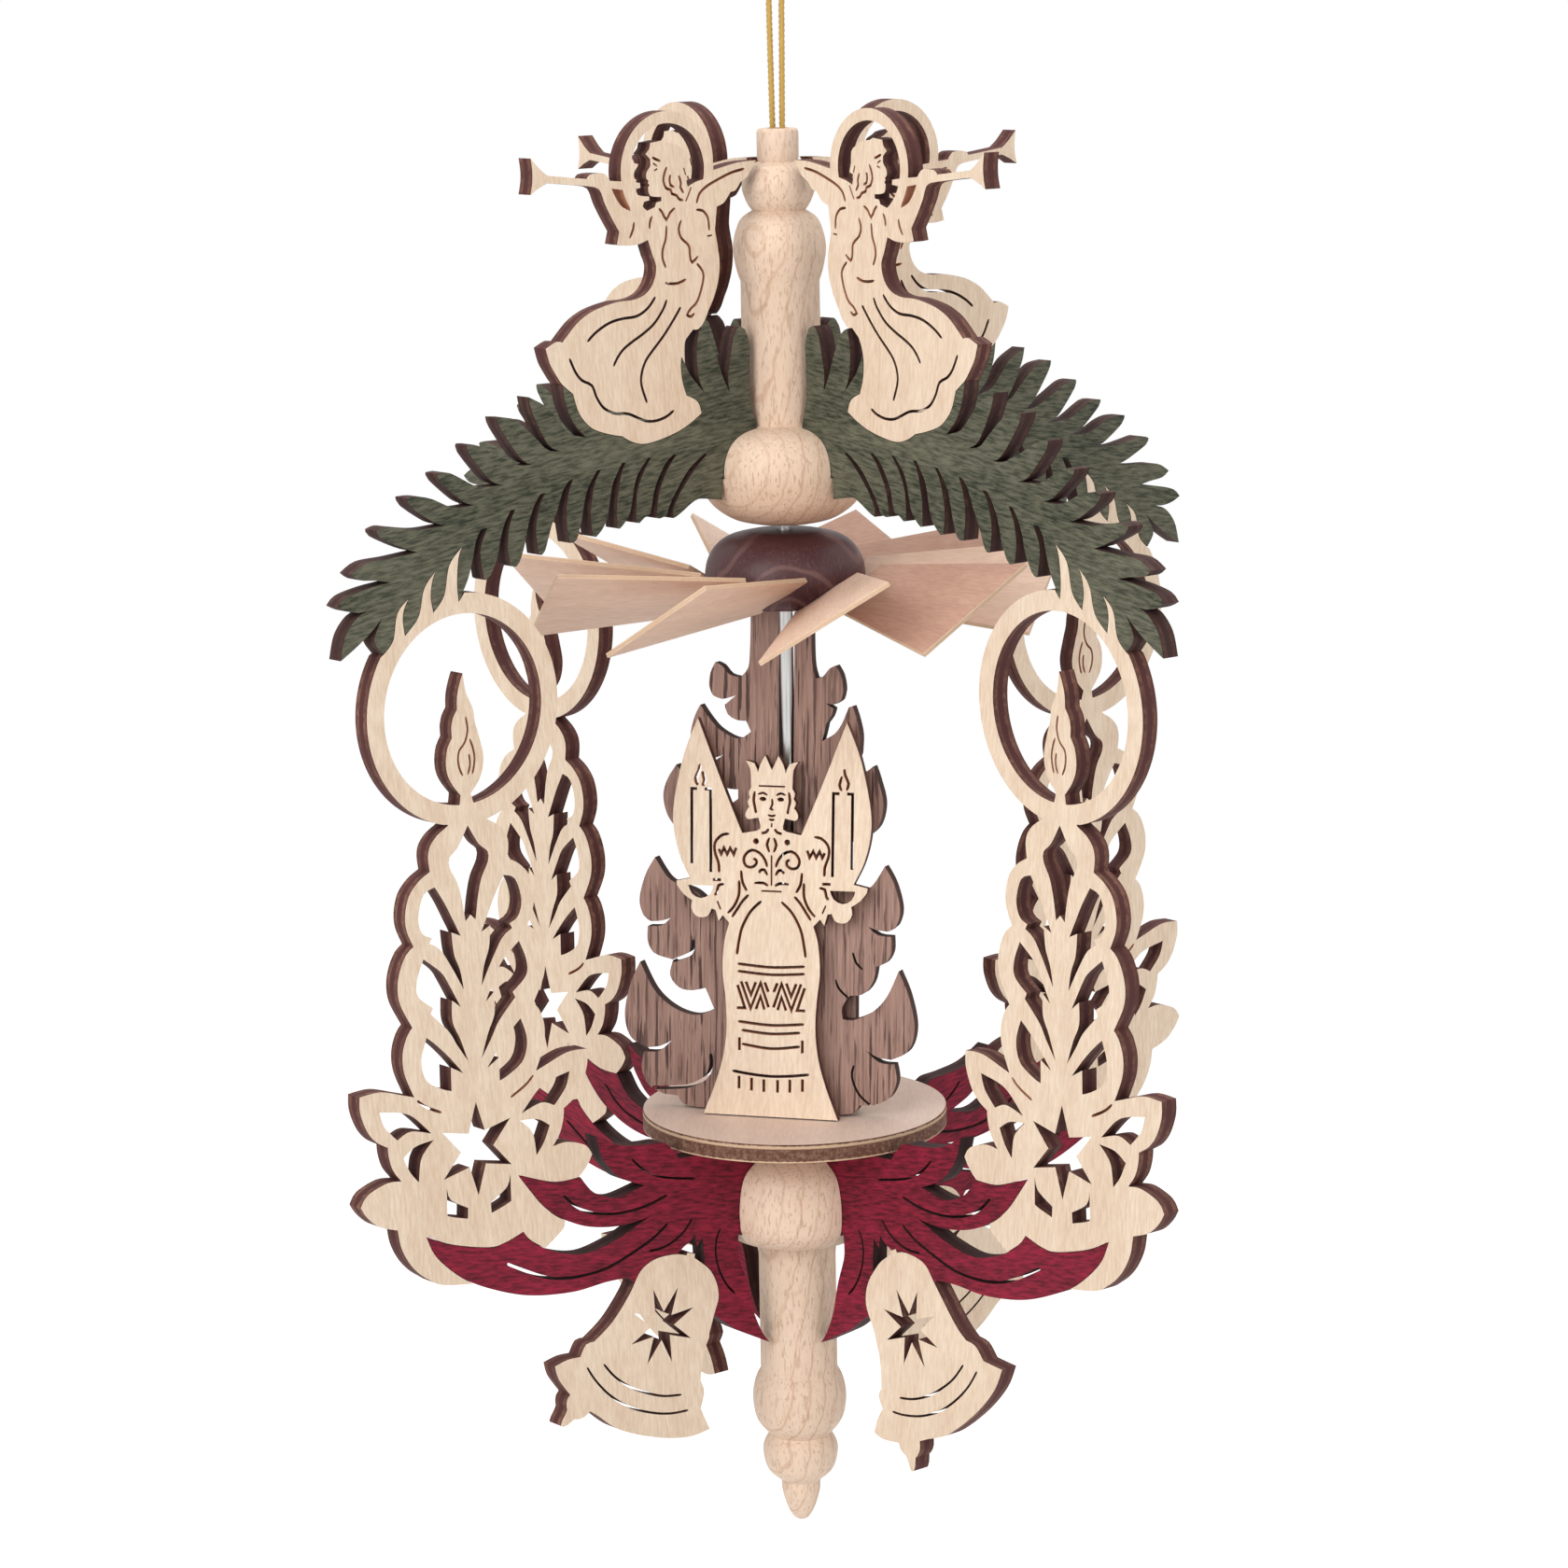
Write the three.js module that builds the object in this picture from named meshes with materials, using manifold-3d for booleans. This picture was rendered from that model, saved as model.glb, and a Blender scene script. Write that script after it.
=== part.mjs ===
// Hanging heat spinner: four fretwork panels stand round a turned upper and lower finial,
// and a bladed rotor with a tree and a light-bearing figure turns between them on a thin shaft.
// Heights are first taken from the upper finial's bulb and then lowered, so that the top of the
// hanging loop is the origin. Panel outlines are (distance from the axis, height) in millimetres.
import * as THREE from 'three';
import { mergeVertices } from 'three/addons/utils/BufferGeometryUtils.js';
import Module from 'manifold-3d';

const wasm = await Module();
wasm.setup();

// Driving dimensions
const loopTop = 45; // top of the cord's loop above the height datum
const plyThickness = 3; // fretwork plates
const sawGap = 0.3; // clearance between neighbouring pieces
const cutMargin = 2; // how much thicker a cutting shape is than its plate
const sameSpot = 0.02; // outline points nearer than this count as one
const sharpLimit = 0.15; // keeps a grown outline short at its sharpest tips
const panelAngles = { front_left: 225, front_right: 315, back_right: 45, back_left: 135 };
const turnedBells = ['front_right', 'back_left']; // bells put in with the clapper on the inner side

const cordDiameter = 1;
const strandSpread = 0.75; // each strand's distance from the axis in the cap
const cordHoleRadius = 1.7;
const cordHoleFloor = 8;

const turnedSides = 18;
const turnedChord = 3; // facet length along turned profiles
const plateChord = 4.4; // facet length along curved plate edges
const slotReach = 18; // past the widest part of the balls
const slotWidth = plyThickness + 2 * sawGap;
const upperSlot = { floor: 6.3, bottom: -39.3, top: -28 }; // floor: distance from the axis
const lowerSlot = { floor: 8.2, bottom: -162.2, top: -147 };

const shaftRadius = 1.1;
const shaftTop = -38;
const shaftPoint = -153.6;
const fitBore = shaftRadius + sawGap;
const bearingBore = 3.4;
const bearingRadius = bearingBore - sawGap;
const upperBallBottom = -47.4;
const bushTop = -36.3;
const lowerBallTop = -149.2;
const cupFloor = -156.3;

const rotorAngle = -10.8; // how far the rotor is turned at rest
const hubRadius = 12.8;
const hubTop = -48.7;
const hubBottom = -60.1;
const bladeCount = 10;
const bladeFirst = -86.8; // direction of the first blade, in degrees
const bladePitch = 31.3;
const bladeThickness = 0.8;
const bladeRoot = 9.8;
const bladeTip = 41.2;
const bladeRootWidth = 11.2;
const bladeTipWidth = 23.1;
const bladeOffset = 8.3; // a blade's middle line passes this far beside the axis
const bladeHeight = -61.8; // where a blade's plane crosses the axis

const discRadius = 24.7;
const discTop = -142.9;
const discThickness = 3;
const standLean = 4.6; // the tree and the figure lean back a little
const treeThickness = 2.5;
const treeFront = 5.9; // front faces, before the axis, at the disc
const treeCentre = -2.5;
const figureThickness = 1.5;
const figureFront = 9;
const figureCentre = -1.5;
const shaftSlotWidth = 2.8;
const battenWidth = 1.8;
const battenDepth = 2;
const battenHeight = 28;
const battenPlace = 10.2; // to the right of the axis

// Curve and outline helpers
const vectors = (points) => points.map(([u, z]) => new THREE.Vector2(u, z));

// Points along a path: a run of one point is a straight line, a longer run a smooth curve
// that is cut into chords of about the given length
function pathPoints(chord, start, ...runs) {
  const points = vectors([start]);
  for (const run of runs) {
    const last = points[points.length - 1];
    const curve = new THREE.SplineCurve([last, ...vectors(run)]);
    const chords = run.length === 1 ? 1 : Math.max(2, Math.round(curve.getLength() / chord));
    points.push(...curve.getPoints(chords).slice(1));
  }
  return points.filter((point, i) => i === 0 || point.distanceTo(points[i - 1]) > sameSpot);
}

function outline(start, ...runs) {
  const points = pathPoints(plateChord, start, ...runs);
  if (points[0].distanceTo(points[points.length - 1]) < sameSpot) points.pop();
  if (THREE.ShapeUtils.isClockWise(points)) points.reverse();
  return new THREE.Shape(points);
}

function arcPoints(centre, radius, fromDegrees, toDegrees, steps) {
  const points = [];
  for (let i = 0; i <= steps; i += 1) {
    const angle = THREE.MathUtils.degToRad(fromDegrees + ((toDegrees - fromDegrees) * i) / steps);
    points.push([centre[0] + radius * Math.cos(angle), centre[1] + radius * Math.sin(angle)]);
  }
  return points;
}

const corners = (points) => points.map((point) => [point]);

function mirrored(run, axis) {
  return run.map(([u, z]) => [2 * axis - u, z]);
}

function starOutline({ centre, outer, inner, count, firstDegrees }) {
  const points = [];
  for (let i = 0; i < 2 * count; i += 1) {
    const angle = THREE.MathUtils.degToRad(firstDegrees + (180 * i) / count);
    const radius = i % 2 ? inner : outer;
    points.push([centre[0] + radius * Math.cos(angle), centre[1] + radius * Math.sin(angle)]);
  }
  return outline(points[0], ...corners(points.slice(1)));
}

// Flat plates: an outline in (u, z) with holes, standing upright with its middle plane at y = 0
function plateGeometry(shape, thickness) {
  const geometry = new THREE.ExtrudeGeometry(shape, { depth: thickness, bevelEnabled: false });
  geometry.rotateX(Math.PI / 2);
  geometry.translate(0, thickness / 2, 0);
  return geometry;
}

// The same outline, without holes, grown sideways by the saw gap and thicker than the plate
function grownPlate(shape) {
  const points = shape.getPoints();
  const count = points.length;
  const grown = points.map((point, i) => {
    const before = point.clone().sub(points[(i + count - 1) % count]).normalize();
    const after = points[(i + 1) % count].clone().sub(point).normalize();
    const normal = new THREE.Vector2(before.y + after.y, -before.x - after.x);
    const stretch = Math.max(sharpLimit, 1 + before.dot(after));
    return point.clone().addScaledVector(normal, sawGap / stretch);
  });
  return plateGeometry(new THREE.Shape(grown), plyThickness + cutMargin);
}

// Solids for cuts and joins
function solidOf(geometry) {
  const bare = geometry.clone();
  bare.deleteAttribute('normal');
  bare.deleteAttribute('uv');
  const merged = mergeVertices(bare, 1e-4);
  const vertProperties = new Float32Array(merged.attributes.position.array);
  const triVerts = new Uint32Array(merged.index.array);
  return new wasm.Manifold(new wasm.Mesh({ numProp: 3, vertProperties, triVerts }));
}

function geometryOf(solid) {
  const mesh = solid.getMesh();
  const geometry = new THREE.BufferGeometry();
  geometry.setAttribute('position', new THREE.BufferAttribute(new Float32Array(mesh.vertProperties), 3));
  geometry.setIndex(new THREE.BufferAttribute(new Uint32Array(mesh.triVerts), 1));
  geometry.computeVertexNormals();
  return geometry;
}

function cutAway(geometry, ...tools) {
  let solid = solidOf(geometry);
  for (const tool of tools) solid = solid.subtract(solidOf(tool));
  return geometryOf(solid);
}

// Turned pieces: a profile of (radius, height) that starts and ends on the axis
function turned(start, ...runs) {
  const profile = pathPoints(turnedChord, start, ...runs);
  if (THREE.ShapeUtils.isClockWise(profile)) profile.reverse();
  return new THREE.LatheGeometry(profile, turnedSides).rotateX(Math.PI / 2);
}

// Materials
const finish = (colour, roughness, metalness = 0) =>
  new THREE.MeshStandardMaterial({ color: colour, roughness, metalness });
const birchPly = () => finish(0xe9d3b8, 0.65);
const greenPly = () => finish(0x4c5348, 0.7);
const redPly = () => finish(0x7a1f30, 0.6);
const turnedBeech = () => finish(0xe2c4a4, 0.55);
const walnut = () => finish(0x8d6c60, 0.7);
const darkHub = () => finish(0x3d2424, 0.45);
const veneer = () => finish(0xd2ac90, 0.6);
const steel = () => finish(0xb9b6b2, 0.3, 1);
const brass = () => finish(0xb58b3f, 0.35, 1);
const goldCord = () => finish(0xc9a24b, 0.4, 0.6);

const spinner = new THREE.Group();
spinner.position.z = -loopTop;

function place(name, geometry, material, parent) {
  const mesh = new THREE.Mesh(geometry, material);
  mesh.name = name;
  parent.add(mesh);
  return mesh;
}

// Angel with halo and trumpet, one plate
const haloCentre = [23.3, 9.05];
const haloRadius = 9.05;
const haloInner = 7.2;

function angelShape() {
  const shape = outline(
    [5.7, 9.8],
    [[9.5, 9.6], [14.25, 8.7]],
    ...corners(arcPoints(haloCentre, haloRadius, 182, -7.6, 18)),
    [[34.4, 8.05]],
    [[35.3, 9.1], [36.7, 9.3], [38.3, 9.15], [38.9, 8.55]],
    [[46.2, 9.4]],
    [[47.6, 10.4], [49.3, 12.1]],
    [[49.5, 6.7]],
    [[47.9, 7.6], [46.2, 8.3]],
    [[38.9, 7.5]],
    [[36.6, 6.9], [35.5, 4.6], [34.2, 2.3], [32.9, 0.3]],
    [[33.4, -1.6]],
    [[31.4, -1.9], [29.2, -1.8], [27.4, -1.25]],
    [[26.5, -3.8], [25.9, -5.3], [26.2, -7.1], [27, -8.5], [28.4, -9.6], [30.6, -10.2],
      [33.5, -10.3], [36.7, -10.9], [38.9, -11.6], [41.4, -13], [44.3, -15.7]],
    [[45.4, -15.5], [47.45, -16.4]],
    [[46.8, -18.6], [45.7, -20.4], [44.5, -22], [42.5, -23.6]],
    [[41.8, -25.8], [40.9, -27.4], [39.2, -29], [37.4, -29.8], [34.9, -30.5], [33.3, -30.8]],
    [[31.9, -31.6], [30.2, -32.2], [28.4, -32.35], [25.6, -31.9], [22.3, -31], [19.8, -29.9], [17.6, -28.6]],
    [[18, -27.2], [18.9, -26.3], [20.5, -25.6]],
    [[21.2, -23.6], [21.5, -21.5], [21.4, -19.7], [20.9, -17.9], [20.3, -16.8]],
    [[18.9, -15.5]],
    [[17.8, -15.5], [16.6, -14.3], [15.8, -12.8], [14.6, -10.7], [13.6, -7.8], [13.4, -4.9], [13.9, -2.6],
      [14.2, -1], [14, 0.9], [13.7, 3.1]],
    [[12.3, 3.6], [10.9, 5.2]],
    [[9.9, 5.4], [8.9, 6.6]],
    [[7.5, 7.4], [5.7, 9.8]],
  );
  const aroundHead = outline(
    [16.35, 7.4],
    ...corners(arcPoints(haloCentre, haloInner, 193, -11, 15)),
    [[28, 7.4]],
    [[27.6, 8.6], [26.9, 9.8], [26.7, 11.4], [25.6, 13.3], [23.6, 13.6], [21.4, 13.1], [20, 12], [19.1, 10.2],
      [19, 8.2], [19.4, 6.5]],
    [[16.35, 7.4]],
  );
  const underTrumpet = outline(
    [27.6, 6.5],
    ...corners(arcPoints(haloCentre, haloInner, -20.5, -46, 4)),
    [[26, 4.7]],
    [[26.8, 5.4], [27.6, 6.5]],
  );
  const besideArm = outline(
    [30.6, 3.3],
    ...corners(arcPoints(haloCentre, haloRadius, -35, -16, 3)),
    [[34.2, 6.9]],
    [[33.4, 5.4], [32.2, 4], [30.6, 3.3]],
  );
  shape.holes.push(aroundHead, underTrumpet, besideArm);
  return shape;
}

// Fir branch: long leaves along the top, and slits between short leaves along the bottom
const upperLeaves = [
  [[[43.3, -29.6], [45.2, -27.8], [47.5, -25.2], [50.9, -23.4]], [[50.2, -26], [47.5, -30.8], [45.1, -32.1]]],
  [[[47.7, -31.6], [50.1, -29.4], [53.5, -26.6], [56.9, -26]], [[56.3, -27.7], [52.7, -32.5], [50.6, -33.6]]],
  [[[53, -33.5], [56.3, -32.1], [60.5, -29.9], [62.5, -29.6]], [[62.3, -30.9], [58.4, -35.3], [56, -36.2]]],
  [[[59, -36.2], [61.2, -35.9], [65.9, -33.5], [68.2, -33.4]], [[67.7, -34.6], [63.6, -38], [61.4, -38.7]]],
  [[[65.4, -38.7], [69.2, -37.1], [71.6, -36.5], [73.8, -36.5]],
    [[73.1, -37.9], [68.8, -40.7], [66.5, -41.2]]],
  [[[71.3, -41.4], [75.5, -40.8], [77.9, -40.4], [79.4, -40.8]], [[78.8, -41.9], [74.4, -44], [72.1, -44.7]]],
  [[[76.7, -45.1], [81.5, -45.4], [84.2, -46.8]], [[82.7, -47.8], [79.7, -48.2], [77.2, -48.7]]],
  [[[81.5, -49.2], [85.3, -50.1], [86.8, -51.4]], [[85.1, -52.2], [83, -52.6], [81.1, -52.5]]],
  [[[83.4, -53.3], [85.6, -55.8], [86.6, -59.4]], [[84.1, -57.9], [81.5, -56.1], [78.85, -53.8]]],
];
// From the outer end inwards: up one side of a slit, across its end, down to the next leaf's tip
const lowerSlits = [
  [[[63.15, -49.7], [62.2, -46.9], [61.4, -43.9], [60.4, -42.5]], [[59.3, -42.35]],
    [[60.4, -44.7], [60.7, -46.6], [60.2, -50]], [[59.9, -50.2]]],
  [[[58.9, -49.5], [57.5, -46.7], [56.9, -44.2], [55.95, -41.8], [54.8, -40.15]], [[54, -40.1]],
    [[55.1, -42.4], [55.6, -45.6], [55.2, -48.5]], [[54.3, -48.8]]],
  [[[53.5, -48.2], [52.4, -45.6], [51.75, -43], [50.5, -40], [49.2, -38.25]], [[48.3, -38.1]],
    [[49.5, -40.3], [50.2, -43.6], [49.8, -47.4]], [[49.4, -47.5]]],
  [[[48.6, -46.9], [47.3, -43.4], [46.05, -40.9], [44.9, -38.1], [43.7, -36.7]], [[42.9, -36.5]],
    [[43.85, -38.7], [44.4, -42.2], [43.9, -46.2]], [[43.4, -46.25]]],
  [[[42.5, -45.8], [41.6, -43.3], [40.6, -39.3], [39.7, -37.5], [38.25, -35.6]], [[37.5, -35.5]],
    [[38.85, -37.85], [39.7, -42], [39.4, -45.6]], [[38.8, -45.8]]],
  [[[37.6, -44.8], [36.5, -42.9], [35.5, -38.4], [34.6, -36.7], [33.4, -34.9]], [[32.7, -34.9]],
    [[33.7, -36.95], [34.6, -41.1], [34.6, -44.9]], [[34.2, -45]]],
  [[[33.2, -44.2], [32, -42.4], [30.9, -37.9], [29.75, -36.1], [28.3, -34.6]], [[27.7, -34.6]],
    [[29.15, -36.5], [30.65, -39.9], [30.9, -44.4]], [[30.3, -44.5]]],
  [[[29.2, -43.7], [28.15, -43.2], [27.1, -39.3], [25.05, -35.9], [23.3, -34.5]], [[22.7, -34.6]],
    [[24.3, -36.4], [26.2, -39.9], [27, -44]], [[26.3, -44.2]]],
  [[[25, -43.9]], [[23.9, -41.65], [21.2, -38], [19.2, -36.2], [17.1, -34.9]], [[16.6, -35]],
    [[18.9, -36.95], [22.1, -40.5], [23.6, -43]], [[23.6, -44.4]]],
];

function branchShape() {
  return outline(
    [13.8, -42.5],
    [[13.8, -39]],
    [[6.6, -39]],
    [[6.6, -31]],
    [[7.4, -28.5], [7.7, -26], [7.7, -21], [7.6, -18.75], [8.6, -16.2], [9.8, -15.7]],
    [[10.8, -17], [11.7, -20.8], [12.1, -23.4], [11.9, -25.8]],
    [[13, -23.7], [14.5, -19.9], [16.2, -16.6], [17.7, -15.7]],
    [[18.3, -18.6], [18.1, -22.6], [16.95, -25.5]],
    [[18.6, -23.7], [19.8, -22.3], [21.2, -19.7]],
    [[26, -27]],
    [[40, -25.5]],
    [[44.5, -21.9]],
    [[43.9, -25.2], [42.4, -28.2], [40.2, -30.4]],
    ...upperLeaves.flat(),
    [[79.9, -55.5], [80.5, -57.3], [79.1, -59.3]],
    [[75.2, -57]],
    [[69.8, -54.1]],
    [[65, -53]],
    ...lowerSlits.flat(),
    [[22.4, -43.9], [19.3, -42.1], [17.5, -41.95], [13.8, -42.5]],
  );
}

// Column: ring with a flame, scalloped fretwork body and a leafed base
const columnAxis = 64.65;
const ringCentre = [64.7, -69.3];
const ringRadius = 17.65;
const ringInner = 14.55;
const ringSpikes = [
  [[[65.2, -50.3], [64.8, -46.4], [64.1, -44.8]], [[66.5, -47.3], [67.6, -51.7], [69.7, -54.1]]],
  [[[70.1, -51.5], [69.6, -49], [69, -47.9]], [[71.2, -50.3], [72.4, -54.4], [75, -57]]],
  [[[75.3, -54.6], [75, -53], [74.2, -51.55]], [[76.2, -53.5], [77.1, -57.4], [78.9, -59.3]]],
];
const scallops = [
  [[68.25, -86.6], [70.3, -87.8], [71.7, -89.3], [72.15, -91], [71.9, -93.2]],
  [[74.05, -94.4], [75.9, -96.4], [76.7, -99.2], [76.5, -101.6], [75.35, -104.2]],
  [[76.7, -105.2], [77.9, -107.3], [78.5, -109.9], [78.1, -112.8], [76.05, -116.6]],
  [[77.1, -117.8], [78, -120.4], [77.8, -123.5], [76.15, -127.4]],
];
const baseLeaves = [
  [[78, -126.8], [82.3, -125.5], [86.1, -125.6]],
  [[86.1, -128], [85, -131], [83.4, -133], [81.3, -134.3]],
  [[81.2, -135.7], [80.5, -138], [79, -140]],
  [[81.7, -139.8], [85.3, -141], [86.6, -142.7]],
  [[85.5, -144.4], [83.3, -146.3], [80, -147.5]],
];
const footRight = [[79.5, -150.2], [78.3, -152.7], [76.7, -154.7], [74.7, -156.3], [72, -157.8],
  [66.3, -158.8]];
const footLeft = [[56, -158.2], [52.3, -156], [49.7, -154.3], [48.4, -153], [48.6, -150],
  [49.2, -147.6]];

function backwards(runs, start) {
  const ends = [start, ...runs.map((run) => run[run.length - 1])];
  return runs.map((run, i) => [...run.slice(0, -1).reverse(), ends[i]]).reverse();
}

function columnOutline() {
  const neck = [68.3, -86.58];
  const rightSide = [...scallops, ...baseLeaves];
  const leftSide = backwards(rightSide, neck).map((run) => mirrored(run, columnAxis));
  return outline(
    [63.9, -51.67],
    [[65, -53]],
    ...ringSpikes.flat(),
    ...corners(arcPoints(ringCentre, ringRadius, 33, -76, 12)),
    ...rightSide,
    footRight,
    footLeft,
    ...leftSide,
    ...corners(arcPoints(ringCentre, ringRadius, 256, 92.6, 18)),
  );
}

function ringHole() {
  return outline(
    [66, -83.7],
    ...corners(arcPoints(ringCentre, ringInner, -84.5, 265, 30)),
    [[63.9, -82.3]],
    [[62, -80], [61.3, -77], [62, -73.8], [62.7, -71.5], [63, -69.4], [64.2, -66.8], [64.7, -63.8]],
    [[65.8, -66.6], [66.1, -69.6], [67.1, -73.4], [68.2, -76], [68, -79.6], [65.8, -82.3]],
    [[66, -83.7]],
  );
}

const columnStar = { centre: [64.75, -137.6], outer: 7.4, inner: 3.05, count: 6, firstDegrees: 90 };
const heartTop = [columnAxis, -87.1];
const heartFoot = [columnAxis, -100.9];
const heartSide = [[66.6, -90.2], [68.2, -91.6], [68.2, -93.2], [66.9, -95.6], [66.1, -98.6], [65.6, -101.8]];
const leafHoles = [
  [[71.1, -95.7], [[73.2, -96.6], [74.3, -100], [73.6, -102.5], [71.9, -103.4]], [[72.4, -104.2]],
    [[70.5, -105.4], [68.5, -108.4], [66.3, -112.3]], [[66.9, -109.2], [67.9, -106.6], [68.3, -103.1]],
    [[66.6, -103.9]], [[68.2, -100.7], [69.4, -98.4], [71.1, -95.7]]],
  [[73.6, -106.4], [[74.9, -109.5], [74.8, -112], [72.15, -114.2]], [[72.6, -115.1]],
    [[69.4, -118.3], [67.9, -120.7], [65.9, -123.6]], [[67.3, -119.8], [68.6, -117], [68.6, -113.6]],
    [[67, -114.9]], [[69.1, -111], [70.5, -108.9], [73.6, -106.4]]],
  [[73.5, -118.6], [[74.6, -122], [73.8, -125.2], [71.1, -127], [69.2, -127.7]], [[69.2, -124]],
    [[66.9, -125.3]], [[69.2, -122.6], [71.7, -120.1], [73.5, -118.6]]],
  [[73.2, -133.6], [[76.5, -130.4], [79, -129.3], [82.6, -128.6]], [[81.8, -131], [79.5, -133.5]],
    [[77, -132.6], [73.2, -133.6]]],
  [[72.8, -134.7], [[76.2, -135.1], [78.5, -136.5]], [[77.3, -139], [75.8, -140.8]],
    [[75.3, -137.4], [74, -135.7], [72.8, -134.7]]],
  [[70.7, -142.6], [[70, -144.7], [66.8, -146.6]], [[66.9, -148.3]], [[69.4, -147.6], [70.7, -147.1]],
    [[70.7, -142.6]]],
];

function columnShape() {
  const shape = columnOutline();
  const leftHalf = mirrored([...heartSide].reverse(), columnAxis);
  const heart = outline(heartTop, heartSide, [heartFoot], [leftHalf[0]], [...leftHalf.slice(1), heartTop]);
  shape.holes.push(ringHole(), heart);
  for (const [start, ...runs] of leafHoles) {
    const [startLeft] = mirrored([start], columnAxis);
    shape.holes.push(outline(start, ...runs));
    shape.holes.push(outline(startLeft, ...runs.map((run) => mirrored(run, columnAxis))));
  }
  shape.holes.push(starOutline(columnStar));
  return shape;
}

// Spray: four leaves that hold the column and the bell, with a tongue in the lower finial
function sprayShape() {
  return outline(
    [8.6, -161.6],
    [[8.6, -151.2]],
    [[12, -148.8], [18, -147.3], [25.4, -146.8]],
    [[26.6, -145.2], [28.4, -143.6], [32.3, -143.2], [37.3, -142.3], [41.8, -140]],
    [[40.8, -143.4], [39.4, -145.5], [37, -147.8], [32.5, -149.8]],
    [[37, -150.6], [39.2, -150.5], [41.4, -149.6], [43.2, -148.4], [45.1, -146]],
    [[48.8, -146], [51.7, -145.4], [57, -143.4]],
    [[53.6, -147.8], [51.7, -149.8], [49.1, -151.8], [44, -154.2], [37.6, -155.4], [31.5, -155.1]],
    [[35.4, -156.5], [38.6, -157.6], [44.6, -158.5], [50.4, -157], [54.9, -154.4], [56.5, -152.6]],
    [[60, -153.6], [63.2, -153.7], [70.2, -151.8], [74.7, -149.6]],
    [[72.8, -153.3], [68, -157.6], [62.6, -160.5], [55.5, -163], [47.2, -164.2], [40.5, -164], [36, -164.2]],
    [[33, -168]],
    [[20.5, -173.5]],
    [[18, -174.8], [15.2, -177], [12.4, -178.6], [7.4, -181.2]],
    [[8.9, -179.2], [10.6, -175.4], [11.9, -170.2], [13.5, -165.6], [13.6, -163]],
    [[13.5, -161.6]],
    [[8.6, -161.6]],
  );
}

// Bell with its clapper to one side and a star cut through
const bellMiddle = [29.5, -173.6];
const bellTilt = -60; // direction from the star to the mouth
const bellStar = { centre: bellMiddle, outer: 6.6, inner: 2.3, count: 8, firstDegrees: 30 };
const bellRuns = [
  [[31.1, -162.4], [33.7, -163.7], [36.1, -167.1], [39.6, -170.8], [43.3, -173.2]],
  [[44.9, -173.3], [46.1, -175.1]],
  [[48.5, -175], [51.1, -175.5]],
  [[50.5, -177.7], [48.3, -180.8]],
  [[49.2, -183.1], [50.1, -185.5]],
  [[47.5, -185.1], [44.4, -184.4]],
  [[42.8, -185.6], [38.5, -188.9], [31.1, -191.9], [24.7, -193.3], [20.3, -193]],
  [[21.2, -191.1], [22.1, -189.1]],
  [[21.3, -186.5], [22, -184.4]],
  [[21.5, -181.2], [19.1, -174.5], [17.9, -170.8], [19.3, -166.8], [22.8, -163.7], [28.7, -162.2]],
];

function bellShape(turnedRound) {
  const axis = new THREE.Vector2(1, 0).rotateAround(new THREE.Vector2(), THREE.MathUtils.degToRad(bellTilt));
  const middle = new THREE.Vector2(...bellMiddle);
  const flipped = ([u, z]) => {
    const arm = new THREE.Vector2(u, z).sub(middle);
    const along = axis.clone().multiplyScalar(2 * arm.dot(axis));
    return middle.clone().add(along).sub(arm).toArray();
  };
  const put = turnedRound ? flipped : (point) => point;
  const shape = outline(put([28.7, -162.2]), ...bellRuns.map((run) => run.map(put)));
  shape.holes.push(starOutline(bellStar));
  return shape;
}

// The four panels
function addPanel(side, degrees) {
  const panel = new THREE.Group();
  panel.rotation.z = THREE.MathUtils.degToRad(degrees);
  spinner.add(panel);
  const angel = angelShape();
  const spray = sprayShape();
  const bell = bellShape(turnedBells.includes(side));
  const plate = (shape) => plateGeometry(shape, plyThickness);
  place(`angel_${side}`, plate(angel), birchPly(), panel);
  place(`fir_branch_${side}`, cutAway(plate(branchShape()), grownPlate(angel), grownPlate(columnOutline())),
    greenPly(), panel);
  place(`column_${side}`, cutAway(plate(columnShape()), grownPlate(spray)), birchPly(), panel);
  place(`spray_${side}`, cutAway(plate(spray), grownPlate(bell)), redPly(), panel);
  place(`bell_${side}`, plate(bell), birchPly(), panel);
}

// Turned finials with a slot for each panel
function panelSlots({ floor, bottom, top }) {
  return Object.values(panelAngles).map((degrees) => {
    const slot = new THREE.BoxGeometry(slotReach - floor, slotWidth, top - bottom);
    slot.translate((slotReach + floor) / 2, 0, (top + bottom) / 2);
    return slot.rotateZ(THREE.MathUtils.degToRad(degrees));
  });
}

function upperFinial() {
  const blank = turned(
    [0, cordHoleFloor],
    [[cordHoleRadius, cordHoleFloor]],
    [[cordHoleRadius, 14.5]],
    [[2.9, 14.5]],
    [[3.28, 14]],
    [[3.28, 10]],
    [[3.1, 9.4]],
    [[4.9, 8.2], [5.76, 5.6], [5.1, 3.2], [4.2, 1.8]],
    [[6.2, 0.2], [7.3, -3.6], [6.9, -7], [6.2, -9.3]],
    [[6.3, -28]],
    [[5.9, -31.7]],
    [[9, -32.3], [11.4, -33.5], [12.9, -35.5], [13.5, -38], [13.2, -40.8], [11.6, -44.1], [8.4, -46.5],
      [5, upperBallBottom]],
    [[bearingBore, upperBallBottom]],
    [[bearingBore, bushTop + sawGap]],
    [[0, bushTop + sawGap]],
  );
  place('upper_finial', cutAway(blank, ...panelSlots(upperSlot)), turnedBeech(), spinner);
}

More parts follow.
